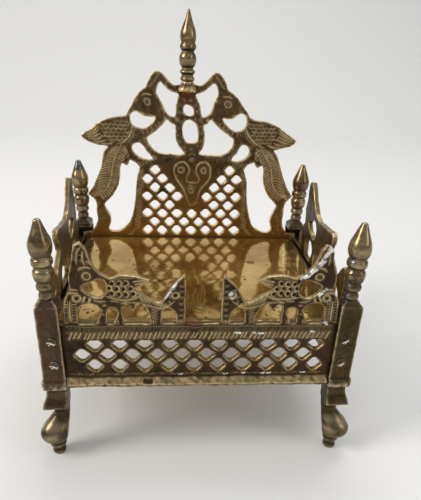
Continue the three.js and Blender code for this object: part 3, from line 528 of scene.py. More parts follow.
def back_marks(relief, side, rng):
    """The marks of one half of the back: side is 1 for the right and -1 for the left."""

    def place(p):
        z = SEAT_HEIGHT + p[1]
        return (side * p[0] - float(sway_at(z)), z)

    def line(points, width=0.72, depth=0.3, cut=1.0):
        relief.groove([place(p) for p in points], width, depth, cut)

    def ring(centre, radius, count, width, depth, cut):
        run = [place(p) for p in round_run(centre, radius, count=count)]
        relief.groove(run, width, depth, cut, smooth=False, taper=False)

    # Head: ringed eye, brow, and bars across the neck
    ring((21.9, 76.7), 1.75, 19, 0.52, 0.3, 0.85)
    ring((21.9, 76.7), 0.65, 19, 0.4, 0.3, 0.35)
    line([(24.6, 79.6), (23, 80.8), (21, 80.9), (19.2, 80)], 0.6)
    for bar in ([(15.6, 64.6), (17.4, 66.2)], [(17.4, 62.9), (19.2, 64.8)], [(20, 61.2), (21.2, 63.2)],
                [(23, 59.8), (23.8, 61.8)], [(26, 59.4), (26.4, 61.4)]):
        line(bar, 0.5, 0.24, 0.7)
    # Crest: slanted marks along its arm
    for index in range(6):
        start = (20.8 - 0.9 * index, 84.6 + 1.15 * index)
        line([start, (18.8 - 0.8 * index, 85.2 + 1.2 * index)], 0.45, 0.24, 0.6)
    for index in range(4):
        start = (11.6 - 2.3 * index, 87.6 - 1.1 * index)
        line([start, (10.8 - 2.2 * index, 86.2 - 1.1 * index)], 0.4, 0.18, 0.35)
    # Rings along the arms to the column
    ring((10.4, 67.4), 1.15, 15, 0.42, 0.26, 0.55)
    ring((6.4, 67.5), 1.15, 15, 0.42, 0.26, 0.55)
    # Wing: scales, long feathers at the tip and a double rim
    field = [(31.8, 66.4), (34, 67.4), (38, 67), (42, 66.4), (46.8, 64.6), (48.8, 61.4), (48.2, 57.4),
             (44, 55.6), (39.6, 54.6), (36.2, 56.4), (34, 59.6)]
    for row, up in enumerate(np.arange(54.6, 67.6, 2.0)):
        for across in np.arange(30.5, 50, 2.5):
            x = across + (row % 2) * 1.25
            if inside(field, x, up):
                run = [place(p) for p in round_run((x, up), 1.05, 175, 365, 7, 0.95)]
                relief.patch(relief.dark, [place((x, up + 0.3))], 0.6, 0.3, 0.06)
                relief.groove(run, 0.56, 0.3, rng.uniform(0.5, 0.9), smooth=False, painted_shade_halo=0.5)
    for start, end in (((49.4, 63.3), (56.8, 59.3)), ((49.6, 61.4), (58, 58.3)), ((49.4, 59.4), (57.8, 57.2)),
                       ((48.6, 57.5), (56, 55.9)), ((46.4, 56), (53.6, 54.6)), ((43, 54.6), (50.2, 53.6))):
        middle = ((start[0] + end[0]) / 2, (start[1] + end[1]) / 2 - 0.5)
        line([start, middle, end], 0.72, 0.36)
    line([(31.2, 65.2), (32.2, 61), (34.2, 57.4), (37.2, 54.9), (41.2, 53.4)], 0.7, 0.34, 0.95)
    line([(30, 63.4), (31, 60.2), (33, 56.4), (36, 53.8)], 0.5, 0.26, 0.6)
    # Tail feather: a rib with slanted barbs on both sides
    rib = smooth_line([(38.6, 53.4), (41.6, 48.8), (44.2, 43.4), (45.6, 37.6), (46.8, 32), (49.4, 27.4),
                       (53.4, 24.6)], 0.25)
    relief.groove([place(p) for p in rib[::3]], 0.75, 0.34, 1.0, smooth=False)
    barb_starts = rib[::6]
    for index, (x, up) in enumerate(barb_starts[1:]):
        share = index / len(barb_starts)
        outer = 5.4 + 1.8 * math.sin(share * math.pi) if share < 0.85 else 3.4
        inner = 3.3 if share < 0.6 else 3.0 - 2.2 * (share - 0.6)
        if share < 0.93:
            line([(x + 0.6, up + 0.1), (x + 0.6 + outer * 0.5, up - 0.5), (x + 0.4 + outer, up - 1.9)],
                 0.72, 0.34, rng.uniform(0.7, 1.0))
        line([(x - 0.5, up - 0.2), (x - 0.4 - inner * 0.6, up - 1.5), (x - 0.3 - inner, up - 3.1)],
             0.7, 0.34, rng.uniform(0.7, 1.0))
    for across, up in ((36.2, 50.6), (38.2, 46.6), (35.4, 48), (36.8, 52.6)):
        line([(across, up), (across + 0.9, up - 2.2)], 0.6, 0.3, 0.7)
    # Support below the feather: short chisel marks
    for _ in range(44):
        x, up = rng.uniform(48.6, 54), rng.uniform(3, 21)
        if 48 + abs(up - 11) * 0.1 < x < 54:
            end = (x + rng.uniform(-0.7, 0.7), up - rng.uniform(0.6, 1.3))
            line([(x, up), end], 0.5, 0.2, rng.uniform(0.1, 0.55))
    # Hatched border beside the lattice and over the shoulder
    for up in np.arange(1.6, 40, 1.5):
        edge = 33.2 if up < 12 else 32.4 if up < 30 else 31.2
        if up < 6:
            edge += (6 - up) * 0.9
        line([(edge - 3.6, up + 0.2), (edge - 0.8, up - 0.6)], 0.6, 0.28, rng.uniform(0.4, 0.9))
    for index in range(7):
        x, up = 30.6 - 1.75 * index, 40.9 + 0.75 * index
        line([(x, up), (x + 1.5, up + 2.4)], 0.62, 0.28, rng.uniform(0.5, 0.95))
    for index in range(7):
        relief.arc(place((7.6 + 2.0 * index, 46.6)), 0.75, 20, 200, 0.4, 0.2, rng.uniform(0.2, 0.6))
    for index in range(5):
        x, up = 30.4 - 1.9 * index, 36.8 + 1.4 * index
        line([(x, up), (x + 1.4, up + 1.5)], 0.4, 0.18, rng.uniform(0.15, 0.4))


def heart_marks(relief):
    """The heart plaque: two spirals whose ends run down to a point, a bar, and a small ball."""
    left = [(-3.2, 97), (-3, 99), (-2, 102), (-1.9, 104.6), (-3.3, 107.2), (-6, 108.6), (-8.7, 107.7),
            (-10.3, 105.1), (-10.3, 102), (-8.6, 98), (-5.8, 93.6), (-3.6, 89.6), (-2.5, 86), (-1.2, 83.4)]
    right = [(3.4, 97), (3.7, 98.8), (1.9, 102.4), (1.8, 105.2), (3.6, 107.8), (6.4, 108.6), (9, 107.4),
             (10.3, 105), (10.2, 101.8), (8.6, 98), (6, 94.2), (4.2, 91.4), (3.1, 88), (2.2, 84.4),
             (0.9, 83.2)]
    for spiral, eye in ((left, (-6.6, 104)), (right, (6.2, 103.8))):
        relief.groove(spiral, 0.8, 0.34)
        relief.ring(eye, 1.7, 0.7)
        relief.ring(eye, 0.6, 0.5, 0.3, 0.5)
    relief.groove([(-3.4, 97), (-1.2, 96.4), (1.4, 96.4), (3.6, 97)], 0.62, 0.32, 0.9)
    relief.groove([(-1.2, 83.4), (0.9, 83.2)], 0.6, 0.3, 0.8)
    relief.ring((-0.5, 91.9), 1.4, 0.62)
    relief.arc((-0.4, 92.4), 2.6, 20, 160, 0.5, 0.26, 0.7)
    relief.groove([(-8.2, 95), (-5.4, 91), (-3, 87)], 0.4, 0.18, 0.35)
    relief.ring((-0.4, 109.6), 1.2, 0.45, 0.22, 0.6)
    relief.groove([(-2.2, 111.6), (-0.3, 113.2), (1.4, 111.6)], 0.45, 0.22, 0.6)


def back_relief():
    """The marks of the back above the seat, on its inner face."""
    relief = Relief((-63, 62), (63, 160))
    rng = np.random.default_rng(11)
    back_marks(relief, 1, rng)
    back_marks(relief, -1, rng)
    heart_marks(relief)
    # Short scratches over the lattice and the plaque
    for _ in range(90):
        x, z = rng.uniform(-31, 31), rng.uniform(66, 114)
        end = (x + rng.uniform(-1.2, 1.2), z + rng.uniform(-1.2, 1.2))
        relief.groove([(x, z), end], 0.42, 0.12, rng.uniform(0.15, 0.5), smooth=False, painted_shade_halo=0.2)
    # Verdigris in the lattice and a smudge on its shoulder
    for x, z, reach in ((-18.6, 93, 1.1), (-17.2, 91.3, 1.9), (-15.2, 92.6, 1.2), (-19.4, 90.2, 0.9),
                        (-14.6, 90.4, 1.1)):
        relief.patch(relief.stain, [(x, z), (x + 0.5, z + 0.4)], reach, 0.9)
    relief.patch(relief.dark, [(-17.4, 111.4), (-14.6, 110), (-12.6, 109.8)], 1.9, 0.75)
    # Reddish tarnish at the top of the column and on the left head
    relief.patch(relief.blush, [(-4.1, 144.8), (-4, 142)], 4.4)
    relief.patch(relief.blush, [(-22, 138.6), (-20.6, 140)], 3.4, 0.7)
    relief.patch(relief.blush, [(-5.6, 128), (-5, 125)], 2.2, 0.5)
    # Punched rings round the holes of the column
    for centre in ((-8.2, 135.4), (-8, 139.2), (-5.4, 142), (-1.6, 142.4), (1.6, 139.8), (2, 136.2),
                   (0.6, 132.4), (-3.2, 131.4), (-6.2, 130.4), (-8.4, 127), (-8.8, 123), (-7.4, 119.4),
                   (-4.6, 116.4), (-1, 115.6), (2.2, 117.4), (4.2, 120.6), (4.8, 124.4), (4.2, 128.2)):
        relief.ring(centre, 0.85, 0.42, 0.24, 0.4)
    return relief


def band_only_relief():
    """The marks of the band on the outer face of the back, which is plain above it."""
    relief = Relief((-60, 34), (60, 68))
    band_marks(relief, 55.0, 13)
    return relief


def add_object(name, mesh):
    obj = bpy.data.objects.new(name, mesh)
    bpy.context.scene.collection.objects.link(obj)
    return obj


def settle(obj):
    """Applies an object's modifiers to its mesh."""
    graph = bpy.context.evaluated_depsgraph_get()
    mesh = bpy.data.meshes.new_from_object(obj.evaluated_get(graph))
    obj.modifiers.clear()
    old = obj.data
    obj.data = mesh
    bpy.data.meshes.remove(old)


def skin(name, meshes, voxel, soft):
    """One closed skin round the given meshes, with its edges softened."""
    joined = bmesh.new()
    for mesh in meshes:
        joined.from_mesh(mesh)
    data = bpy.data.meshes.new(name)
    joined.to_mesh(data)
    joined.free()
    obj = add_object(name, data)
    remesh = obj.modifiers.new("skin", "REMESH")
    remesh.mode = "VOXEL"
    remesh.voxel_size = voxel * MM
    smooth = obj.modifiers.new("soft", "SMOOTH")
    smooth.factor = 0.5
    smooth.iterations = soft
    settle(obj)
    return obj


def places_of(mesh):
    flat = np.empty(len(mesh.vertices) * 3, np.float32)
    mesh.vertices.foreach_get("co", flat)
    return flat.reshape(-1, 3).astype(float) / MM


def normals_of(mesh):
    flat = np.empty(len(mesh.vertices) * 3, np.float32)
    mesh.vertex_normals.foreach_get("vector", flat)
    return flat.reshape(-1, 3).astype(float)


def set_places(mesh, places):
    mesh.vertices.foreach_set("co", (places * MM).astype(np.float32).ravel())
    mesh.update()


def neighbours_mean(mesh, values):
    """The mean of each vertex's neighbours' values."""
    ends = np.empty(len(mesh.edges) * 2, np.int32)
    mesh.edges.foreach_get("vertices", ends)
    a, b = ends[::2], ends[1::2]
    count = np.bincount(a, minlength=len(values)) + np.bincount(b, minlength=len(values))
    values = values.reshape(len(values), -1)
    total = np.empty_like(values)
    for axis in range(values.shape[1]):
        total[:, axis] = (np.bincount(a, values[b, axis], len(values))
                          + np.bincount(b, values[a, axis], len(values)))
    return total / np.maximum(count, 1)[:, None]


def set_attribute(mesh, name, values):
    layer = mesh.attributes.new(name, "FLOAT", "POINT")
    values = np.broadcast_to(values, len(mesh.vertices))
    layer.data.foreach_set("value", np.ascontiguousarray(values, np.float32))


def bulge_of(mesh):
    """How far each vertex stands out from the shape around it."""
    places = places_of(mesh)
    around = places
    for _ in range(3):
        around = neighbours_mean(mesh, around)
    height = np.einsum("ij,ij->i", places - around, normals_of(mesh))
    for _ in range(2):
        height = (height + neighbours_mean(mesh, height)[:, 0]) / 2
    return height


def mark_wear(obj, gain=9.0, cut=0.0, grime_and_shade=0.0, solder=0.0, stain=0.0, blush=0.0):
    """Stores where edges stick out and wear bright, where hollows keep soiling, and the marks given, painted
    shade and painted highlights among them.
    """
    height = bulge_of(obj.data)
    # Painted shade passed in is added to the soiling of the hollows.
    hollow = np.clip(-height * min(gain, 6.0) - 0.2, 0, 1) + grime_and_shade
    shares = {
        "edge": np.clip(height * gain - 0.12, 0, 1),
        "grime_and_shade": np.clip(hollow, 0, 1) * np.clip(1 - 1.6 * cut, 0, 1),
        "cut": cut, "solder": solder, "stain": stain, "blush": blush,
    }
    for name, values in shares.items():
        set_attribute(obj.data, name, values)


def finish_piece(obj, material, node):
    obj.data.materials.clear()
    obj.data.materials.append(material)
    obj.data.shade_smooth()
    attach(obj, "root")
    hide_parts(node)


def thin_out(obj, marked=False):
    """Merges faces until the piece is light enough, but for a line of them beside every edge and mark."""
    mesh = obj.data
    count = sum(len(polygon.vertices) - 2 for polygon in mesh.polygons)
    if count > MOST_FACES:
        shaped = marked | (np.abs(bulge_of(mesh)) > 0.012)
        beside = ~shaped & (neighbours_mean(mesh, shaped.astype(float))[:, 0] > 0)
        free = obj.vertex_groups.new(name="free")
        free.add(np.flatnonzero(~beside).tolist(), 1.0, "REPLACE")
        modifier = obj.modifiers.new("fewer", "DECIMATE")
        modifier.ratio = MOST_FACES / count
        modifier.vertex_group = "free"
        settle(obj)
        obj.vertex_groups.clear()


class Face:
    """A face of a panel that carries marks: the marks, where the face lies, and the way that it looks."""

    def __init__(self, relief, axis, distance, out):
        self.relief = relief
        self.axis = axis
        self.distance = distance
        self.out = np.array(out)

    def share(self, places, normals):
        """How far each vertex belongs to the face."""
        facing = np.clip((normals @ self.out - 0.35) / 0.4, 0, 1)
        return facing * np.clip(1.6 - np.abs(self.distance(places)) / 0.5, 0, 1)

    def read(self, name, places):
        return self.relief.read(getattr(self.relief, name), places[:, self.axis], places[:, 2])


def carve(mesh, faces):
    """Moves the vertices by the depth of the marks, and tells which of them a mark touches."""
    places, normals = places_of(mesh), normals_of(mesh)
    moved = places.copy()
    marked = np.zeros(len(places), bool)
    for face in faces:
        share = face.share(places, normals)
        depth = face.read("depth", places)
        burr = np.where(depth > 0.02, 0.0, face.read("burr", places))
        moved += face.out * ((burr - depth) * share)[:, None]
        marked |= np.maximum(depth, face.read("dark", places)) * share > 0.02
    set_places(mesh, moved)
    return marked


def walls_wear_and_highlight(places, normals, out, dark, rim, seed):
    """The bright wear on the walls of the openings, with a painted highlight where they face up, and, in
    patches, on the foot moulding.
    """
    wall_wear_and_highlight = np.clip(1 - np.abs(normals @ out) * 1.4, 0, 1)
    # Walls that face up get more of the bright colour: painted highlight.
    wall_wear_and_highlight *= np.clip(0.4 + 0.4 * normals[:, 2], 0.08, 1) * rim
    seat_line = np.clip(2 - np.abs(places[:, 2] - SEAT_HEIGHT) / 0.6, 0, 1) * (normals[:, 2] > 0.3)
    wall_wear_and_highlight *= 1 - 0.85 * seat_line
    patches = 0.42 + 0.1 * ripple(places, 9.0, seed + 9) + 0.18 * ripple(places, 2.2, seed + 10)
    foot = np.clip((MOULDING_TOP - places[:, 2]) / 0.6, 0, 1) * (1 - dark) * np.clip(patches, 0.06, 0.85)
    return np.maximum(wall_wear_and_highlight, foot)


def panel(node, faces, material, seed, wobble=0.16, gain=9.0, rim=1.0):
    """A cast panel: the CAD solid's shape with soft edges, and the marks carved into its faces."""
    obj = skin(node + "_cast", [nodes[node].data], PANEL_VOXEL, 4)
    thin_out(obj, carve(obj.data, faces))
    mesh = obj.data
    places, normals = places_of(mesh), normals_of(mesh)
    spreads = {"cut": 0.0, "dark": 0.0, "solder": 0.6, "stain": 0.8, "blush": 0.8}
    found = dict.fromkeys(spreads, 0.0)
    for face in faces:
        share = np.clip(face.share(places, normals) * 1.5, 0, 1)
        for name, spread in spreads.items():
            values = face.read(name, places) * np.clip(share + spread, 0, 1)
            found[name] = np.maximum(found[name], values)
    cut, dark, solder, stain, blush = found.values()
    out = np.abs(faces[0].out)
    cut = np.clip(np.maximum(cut * 0.9, walls_wear_and_highlight(places, normals, out, dark, rim, seed)), 0, 1)
    mark_wear(obj, gain, cut, dark, np.clip(solder * 1.6, 0, 1), stain, blush)
    wave = np.stack([ripple(places, 9.0, seed + axis) for axis in range(3)], axis=1)
    uneven = ripple(places, 4.5, seed + 7)[:, None] * normals * 0.045
    set_places(mesh, places + wave * wobble * (1 - out * 0.6) + uneven)
    finish_piece(obj, material, node)


def tube_faces(levels, sides):
    """The faces of a closed tube over rings of vertices."""
    faces = []
    for level in range(levels - 1):
        low, high = level * sides, (level + 1) * sides
        for side in range(sides):
            after = (side + 1) % sides
            faces.append((low + side, low + after, high + after, high + side))
    faces.append(tuple(reversed(range(sides))))
    faces.append(tuple(range((levels - 1) * sides, levels * sides)))
    return faces


def lathe(profile, segments, seed, dents=0.05):
    """A turned shape from (radius, height) points, slightly uneven, as places and faces."""
    places = np.array([
        (radius * math.cos(angle), radius * math.sin(angle), height)
        for radius, height in profile for angle in 2 * math.pi * np.arange(segments) / segments
    ])
    radial = places * (1, 1, 0)
    length = np.maximum(np.linalg.norm(radial, axis=1), 1e-6)[:, None]
    dent = radial / length * (ripple(places, 5.0, seed) * dents)[:, None] * np.minimum(1.0, length)
    return places + dent, tube_faces(len(profile), segments)


def mesh_of(name, places, faces):
    mesh = bpy.data.meshes.new(name)
    mesh.from_pydata((places * MM).tolist(), [], faces)
    return mesh


def turned_profile(shares, radius, height):
    """The fine profile of a turned finial, from its shares."""
    knots = [(r * radius, h * height) for r, h in shares]
    fine = smooth_line(knots, 0.22)
    tip = knots[-1]
    crown = [(tip[0] * math.cos(a), tip[1] + (height - tip[1]) * math.sin(a))
             for a in np.linspace(0, math.pi / 2, 6)[1:-1]]
    crown.append((0.04, height))
    tenon = [(0.3, -TENON_DEPTH), (TENON_RADIUS, -TENON_DEPTH + 0.3), (TENON_RADIUS, 0.0)]
    return tenon + [tuple(p) for p in fine] + crown


# Radius and height along each finial, as shares of its largest radius and of its rise
CORNER_SHARES = [
    (0.6, 0), (0.66, 0.04), (0.54, 0.095), (0.72, 0.13), (0.74, 0.17), (0.65, 0.21), (0.8, 0.25),
    (0.9, 0.31), (0.87, 0.36), (0.72, 0.405), (0.88, 0.445), (0.88, 0.505), (0.77, 0.535), (0.92, 0.59),
    (1, 0.66), (0.93, 0.735), (0.73, 0.815), (0.5, 0.9), (0.32, 0.97),
]
CROWN_SHARES = [
    (0.76, 0), (0.85, 0.035), (0.66, 0.075), (0.82, 0.11), (0.9, 0.135), (0.64, 0.178), (0.88, 0.23),
    (1, 0.315), (0.9, 0.375), (0.7, 0.415), (0.92, 0.465), (0.9, 0.51), (0.79, 0.54), (0.92, 0.6),
    (0.9, 0.67), (0.76, 0.735), (0.55, 0.805), (0.35, 0.877), (0.21, 0.945), (0.12, 0.985),
]


def finial(node, shares, radius, height, base, lean, material, seed, tip=0.0, side=0.0):
    """A turned finial, with residue on its tip or on its left side."""
    local, faces = lathe(turned_profile(shares, radius, height), TURNED_SIDES, seed)
    turn = np.array(Matrix.Rotation(lean, 3, "Y"))
    name = node + "_turned"
    obj = add_object(name, mesh_of(name, local @ turn.T + base, faces))
    tint = np.clip((local[:, 2] - height * 0.82) / 1.5, 0, 1) * tip
    low = np.clip((height * 0.72 - local[:, 2]) / 4, 0, 1)
    low *= np.clip(0.35 + ripple(local, 5.0, seed + 40), 0, 1)
    tint = np.maximum(tint, side * low * np.clip((-local[:, 0] - 1.2) / 1.2, 0, 1))
    neck_grime_and_underside_shade = np.clip(0.86 - np.hypot(local[:, 0], local[:, 1]) / radius, 0, 1)
    neck_grime_and_underside_shade = np.where(local[:, 2] > height * 0.57, 0, neck_grime_and_underside_shade) * 2.4
    # Faces turned downwards are darkened: painted shade.
    neck_grime_and_underside_shade = np.maximum(neck_grime_and_underside_shade, np.clip(-normals_of(obj.data)[:, 2] - 0.08, 0, 1) * 2)
    blush = np.clip(ripple(local, 11.0, seed + 60) * 0.8 - 0.3, 0, 0.8) * (local[:, 2] > height * 0.5)
    mark_wear(obj, 3.0, grime_and_shade=neck_grime_and_underside_shade, solder=tint, blush=blush)
    finish_piece(obj, material, node)


# Height as a share of the leg's, outer and inner side as shares of the post's width, and squareness
LEG_SECTIONS = [
    (0, 0.16, 0.68, 2), (0.03, 0.1, 0.73, 2), (0.08, 0.13, 0.7, 2), (0.12, 0.02, 0.77, 2),
    (0.155, 0.05, 0.77, 2), (0.175, 0.1, 0.78, 2), (0.2, -0.12, 0.84, 2.2), (0.245, -0.29, 0.88, 2.2),
    (0.31, -0.35, 0.92, 2.2), (0.38, -0.23, 0.95, 2.2), (0.45, 0.04, 0.96, 2.4), (0.52, 0.26, 0.97, 2.6),
    (0.59, 0.25, 0.98, 3.4), (0.65, 0.1, 1, 5), (0.652, -0.12, 1, 14), (0.7, -0.08, 1, 14),
    (0.77, 0.04, 1, 14), (0.875, 0.09, 1, 14), (0.89, -0.06, 1, 14), (0.98, -0.09, 1, 14), (1, -0.02, 1, 14),
]


def leg_mesh():
    """The curved leg, with more sections and sides than the solid."""
    table = np.array(LEG_SECTIONS)
    sections = np.vstack([smooth_line(table[:13], 0.02), table[13:]])
    places = []
    for share, outer_share, inner_share, square in sections:
        outer = outer_share * POST_WIDTH
        half = (inner_share - outer_share) * POST_WIDTH / 2
        for side in range(LEG_SIDES):
            angle = 2 * math.pi * (side + 0.5) / LEG_SIDES
            across, along = (
                outer + half + half * math.copysign(abs(f) ** (2 / square), f)
                for f in (math.cos(angle), math.sin(angle))
            )
            places.append((across, along, share * LEG_HEIGHT))
    return np.array(places), tube_faces(len(sections), LEG_SIDES)


def box_mesh(low, high):
    corners = [(low[0], low[1]), (high[0], low[1]), (high[0], high[1]), (low[0], high[1])]
    places = [(x, y, z) for z in (low[2], high[2]) for x, y in corners]
    return np.array(places, float), tube_faces(2, 4)


def cap_mesh():
    """The sloping cap, with sides that curve up to the flat of the finial."""
    middle = POST_WIDTH / 2
    rings = ((0.0, middle), (0.18, middle - 0.15), (0.5, middle - 1.0), (0.8, middle - 1.8), (1.0, CAP_TOP))
    places = [
        (middle + x * half, middle + y * half, POST_TOP + share * CAP_RISE)
        for share, half in rings for x, y in ((-1, -1), (1, -1), (1, 1), (-1, 1))
    ]
    return np.array(places), tube_faces(len(rings), 4)


def bump_at(z, middle, reach):
    """One at a height, and less away from it."""
    return np.exp(-((z - middle) / reach) ** 2)


def post(corner, right, back, material, seed):
    """A corner post: the curved leg, the angle above it, and the sloping cap."""
    node = corner + "_post"
    joint = LEG_HEIGHT - 1
    parts = [
        leg_mesh(),
        box_mesh((0, 0, joint), (POST_WIDTH, FLANGE, POST_TOP)),
        box_mesh((0, 0, joint), (FLANGE, POST_WIDTH, POST_TOP)),
        box_mesh((0, 0, POST_TOP - 2), (POST_WIDTH, POST_WIDTH, POST_TOP)),
        cap_mesh(),
    ]
    meshes = []
    for places, faces in parts:
        x, y, z = places.T
        placed = np.stack([right * (HALF_WIDTH + lean_at(z) - x), back * (HALF_DEPTH - y), z], axis=1)
        if right * back < 0:
            faces = [tuple(reversed(face)) for face in faces]
        meshes.append(mesh_of("part", placed, faces))
    obj = skin(node + "_cast", meshes, POST_VOXEL, 5)
    places, normals = places_of(obj.data), normals_of(obj.data)
    z = places[:, 2]
    uneven = ripple(places, 6.0, seed) * 0.07 + ripple(places, 2.4, seed + 1) * 0.02
    uneven *= np.clip((z - 1.0) / 3.0, 0, 1)
    speckle = ripple(places, 3.0, seed + 6)
    # The knee is brightened: wear together with a painted highlight.
    knee_wear_and_highlight = bump_at(z, 14, 4.2) * np.clip(0.45 + 0.45 * ripple(places, 6.0, seed + 5), 0, 1)
    collar = bump_at(z, 35.6, 1.5) * np.clip(0.3 + 0.5 * speckle, 0, 1)
    # Darker beneath the knee, at the leg's throat and below the collar: painted shade, partly soiling.
    under_shade_and_grime = bump_at(z, 7.2, 1.3) * 0.9 + bump_at(z, 23.5, 2.2) * 0.5 + bump_at(z, 33.6, 0.6) * 0.6
    mark_wear(obj, 6.0, np.maximum(knee_wear_and_highlight * 0.45, collar * 0.6), under_shade_and_grime * np.clip(0.8 + 0.3 * speckle, 0, 1))
    set_places(obj.data, places + normals * uneven[:, None])
    finish_piece(obj, material, node)


def rivet(node, material, seed):
    """A rivet head beaten flat by hand, over a short shank."""
    low, high = (np.array(v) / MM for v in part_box(node))
    middle = (low + high) / 2
    axis = int(np.argmax(high - low))
    sign = 1.0 if middle[axis] > 0 else -1.0
    shank = [(0.1, -3.0), (0.9, -2.9)]
    head = smooth_line([(0.9, 0.15), (1.75, 0.1), (1.95, 0.22), (1.92, 0.45), (1.66, 0.78), (1.2, 0.98),
                        (0.6, 1.04), (0.05, 1.05)], 0.25)
    places, faces = lathe(shank + [tuple(p) for p in head], 28, seed, 0.12)
    x, y, z = places.T
    rng = np.random.default_rng(seed)
    for _ in range(3):
        tilt = rng.normal(0, 0.3, 2)
        limit = 0.82 + tilt[0] * x + tilt[1] * y
        z -= np.maximum(0, z - np.maximum(limit, 0.35)) * 0.7
    # One or two bright crescents on each head: painted highlight.
    mark = np.zeros(len(places))
    for _ in range(2):
        angle, off = rng.uniform(0, 2 * math.pi), rng.uniform(0.25, 0.7)
        run = off + 0.35 * (x * math.sin(angle) - y * math.cos(angle)) ** 2
        stroke = np.abs(x * math.cos(angle) + y * math.sin(angle) - run)
        mark = np.maximum(mark, np.clip(1.3 - stroke / 0.26, 0, 1) * (z > 0.3))
    up = np.zeros(3)
    up[axis] = sign
    side = np.cross((0.0, 0.0, 1.0), up)
    turn = np.stack([side, np.cross(up, side), up], axis=1)
    base = middle.copy()
    base[axis] = (high[axis] if sign > 0 else low[axis]) - sign * 1.1
    name = node + "_beaten"
    obj = add_object(name, mesh_of(name, places @ turn.T + base, faces))
    mark_wear(obj, 4.0, mark)
    finish_piece(obj, material, node)


def seat(material):
    """The sheet of the seat, gently uneven, with its fold rounded."""
    obj = skin("seat_sheet", [nodes["seat_plate"].data], SEAT_VOXEL, 3)
    thin_out(obj)
    mesh = obj.data
    places = places_of(mesh)
    x, y, z = places.T
    flat = places * (1, 1, 0)
    top = np.clip((z - 61.5) / 1.5, 0, 1)
    # Pits, in patches and along the front
    pits = bump_at(y, -40, 9) * 0.45
    for centre_x, centre_y, reach_x, reach_y, share in (
        (-31, 7, 8, 8, 1.0), (-18, 5, 7, 6, 0.7), (40, 3, 5, 5, 0.4),
    ):
        pits += bump_at(x, centre_x, reach_x) * bump_at(y, centre_y, reach_y) * share
    set_attribute(mesh, "pitted", np.clip(pits * 0.8 + 0.03, 0, 1))
    # A raised, wavy stripe painted bright as the reflection of the rear right post, and the ring of the
    # punched hole
    run = smooth_line([(55, 42), (51.4, 28), (48.6, 17), (46.4, 6)])
    away = np.min(np.hypot(x[:, None] - run[:, 0], y[:, None] - run[:, 1]), axis=1)
    post_reflection_streak = np.clip(1.9 - away / 0.6, 0, 1) * top * np.clip(0.75 + ripple(flat, 5.0, 33), 0, 1)
    set_attribute(mesh, "post_reflection_streak", post_reflection_streak)
    ring = np.clip(1.6 * bump_at(np.hypot(x - 30, y - 13), 1.5, 0.6), 0, 1) * top
    # The fold all round is darkened, painted shade over its reflection with some soiling among it, most of it
    # at the back
    out = np.maximum(np.abs(x) - SEAT_FLAT[0], np.abs(y) - SEAT_FLAT[1])
    fold = np.clip(out - 0.1, 0, 1) * np.clip(0.95 + ripple(places, 3.0, 35) * 0.2, 0, 1)
    corner = np.clip((out - 1) / 1.5, 0, 1) * (y > 30)
    grime_and_shade = np.clip((60 - z) / 5, 0, 1) * 0.5 + ring * 0.9 + corner * 0.5 + fold
    mark_wear(obj, 4.0, np.clip(out / 2.5, 0, 1) * 0.15 * top * (1 - fold), grime_and_shade)
    uneven = ripple(flat, 26.0, 31) * 0.06 + ripple(flat, 9.0, 32) * 0.022 + ripple(flat, 4.0, 34) * 0.004
    set_places(mesh, places + np.stack([x * 0, x * 0, uneven * top - 0.06 * top], axis=1))
    finish_piece(obj, material, "seat_plate")


def seat_material():
    """Polished sheet brass with a haze of tarnish, hairline scratches and small dark pits."""
    t = Tree("seat polished")
    broad = t.noise(t.place, 38.0, 3.0, 0.5)
    middle = t.noise(t.place, 240.0, 4.0, 0.6)
    fine = t.noise(t.place, 1900.0, 3.0, 0.6)
    hair = t.add("ShaderNodeMapping", {0: t.place, 2: (0.0, 0.0, 0.35), 3: (120.0, 6200.0, 120.0)})
    hair = t.noise(hair, 1.0, 2.0)
    spots = {"Vector": t.place, "Scale": 500.0, "Randomness": 1.0}
    cells = t.add("ShaderNodeTexVoronoi", spots)
    lots = t.add("ShaderNodeSeparateColor", {0: t.add("ShaderNodeTexVoronoi", spots, 1)})
    chosen = t.math("LESS_THAN", lots, t.attribute("pitted"))
    pit = t.times(t.between(cells, t.times(middle, 0.8), 0.16), chosen)
    cut, post_reflection_streak, grime_and_shade = (t.attribute(key) for key in ("cut", "post_reflection_streak", "grime_and_shade"))
    color = t.mix(t.between(broad, 0.42, 0.58), rgba(0.42, 0.245, 0.055), rgba(0.74, 0.51, 0.175))
    for share, tone in (
        (t.between(middle, 0.4, 0.62, 0.0, 0.6), rgba(0.6, 0.38, 0.105)),
        (t.between(hair, 0.6, 0.72, 0.0, 0.3), rgba(0.8, 0.63, 0.34)),
        (t.times(cut, 0.6), rgba(0.85, 0.7, 0.4)),
        # Bright gold stripe: painted reflection of the rear right post.
        (post_reflection_streak, rgba(0.98, 0.74, 0.22)),
        # Soiling, with the painted shade of the fold among it.
        (t.times(grime_and_shade, 0.85), rgba(0.05, 0.032, 0.014)),
        (pit, rgba(0.03, 0.02, 0.01)),
    ):
        color = t.mix(share, color, tone)
    rough = t.plus(t.between(middle, 0.3, 0.7, 0.035, 0.1), t.times(t.most(pit, grime_and_shade), 0.45))
    height = t.plus(t.times(middle, 0.5), t.times(fine, 0.12))
    height = t.minus(t.minus(height, t.times(pit, 2.0)), t.between(hair, 0.62, 0.72, 0.0, 0.1))
    height = t.plus(height, t.times(post_reflection_streak, 3.0))
    bump = t.add("ShaderNodeBump", {"Strength": 0.3, "Distance": 0.05 * MM, "Height": height})
    return t.finish(t.add(
        "ShaderNodeBsdfPrincipled",
        {"Base Color": color, "Metallic": 0.9, "Roughness": rough, "Normal": bump},
    ))


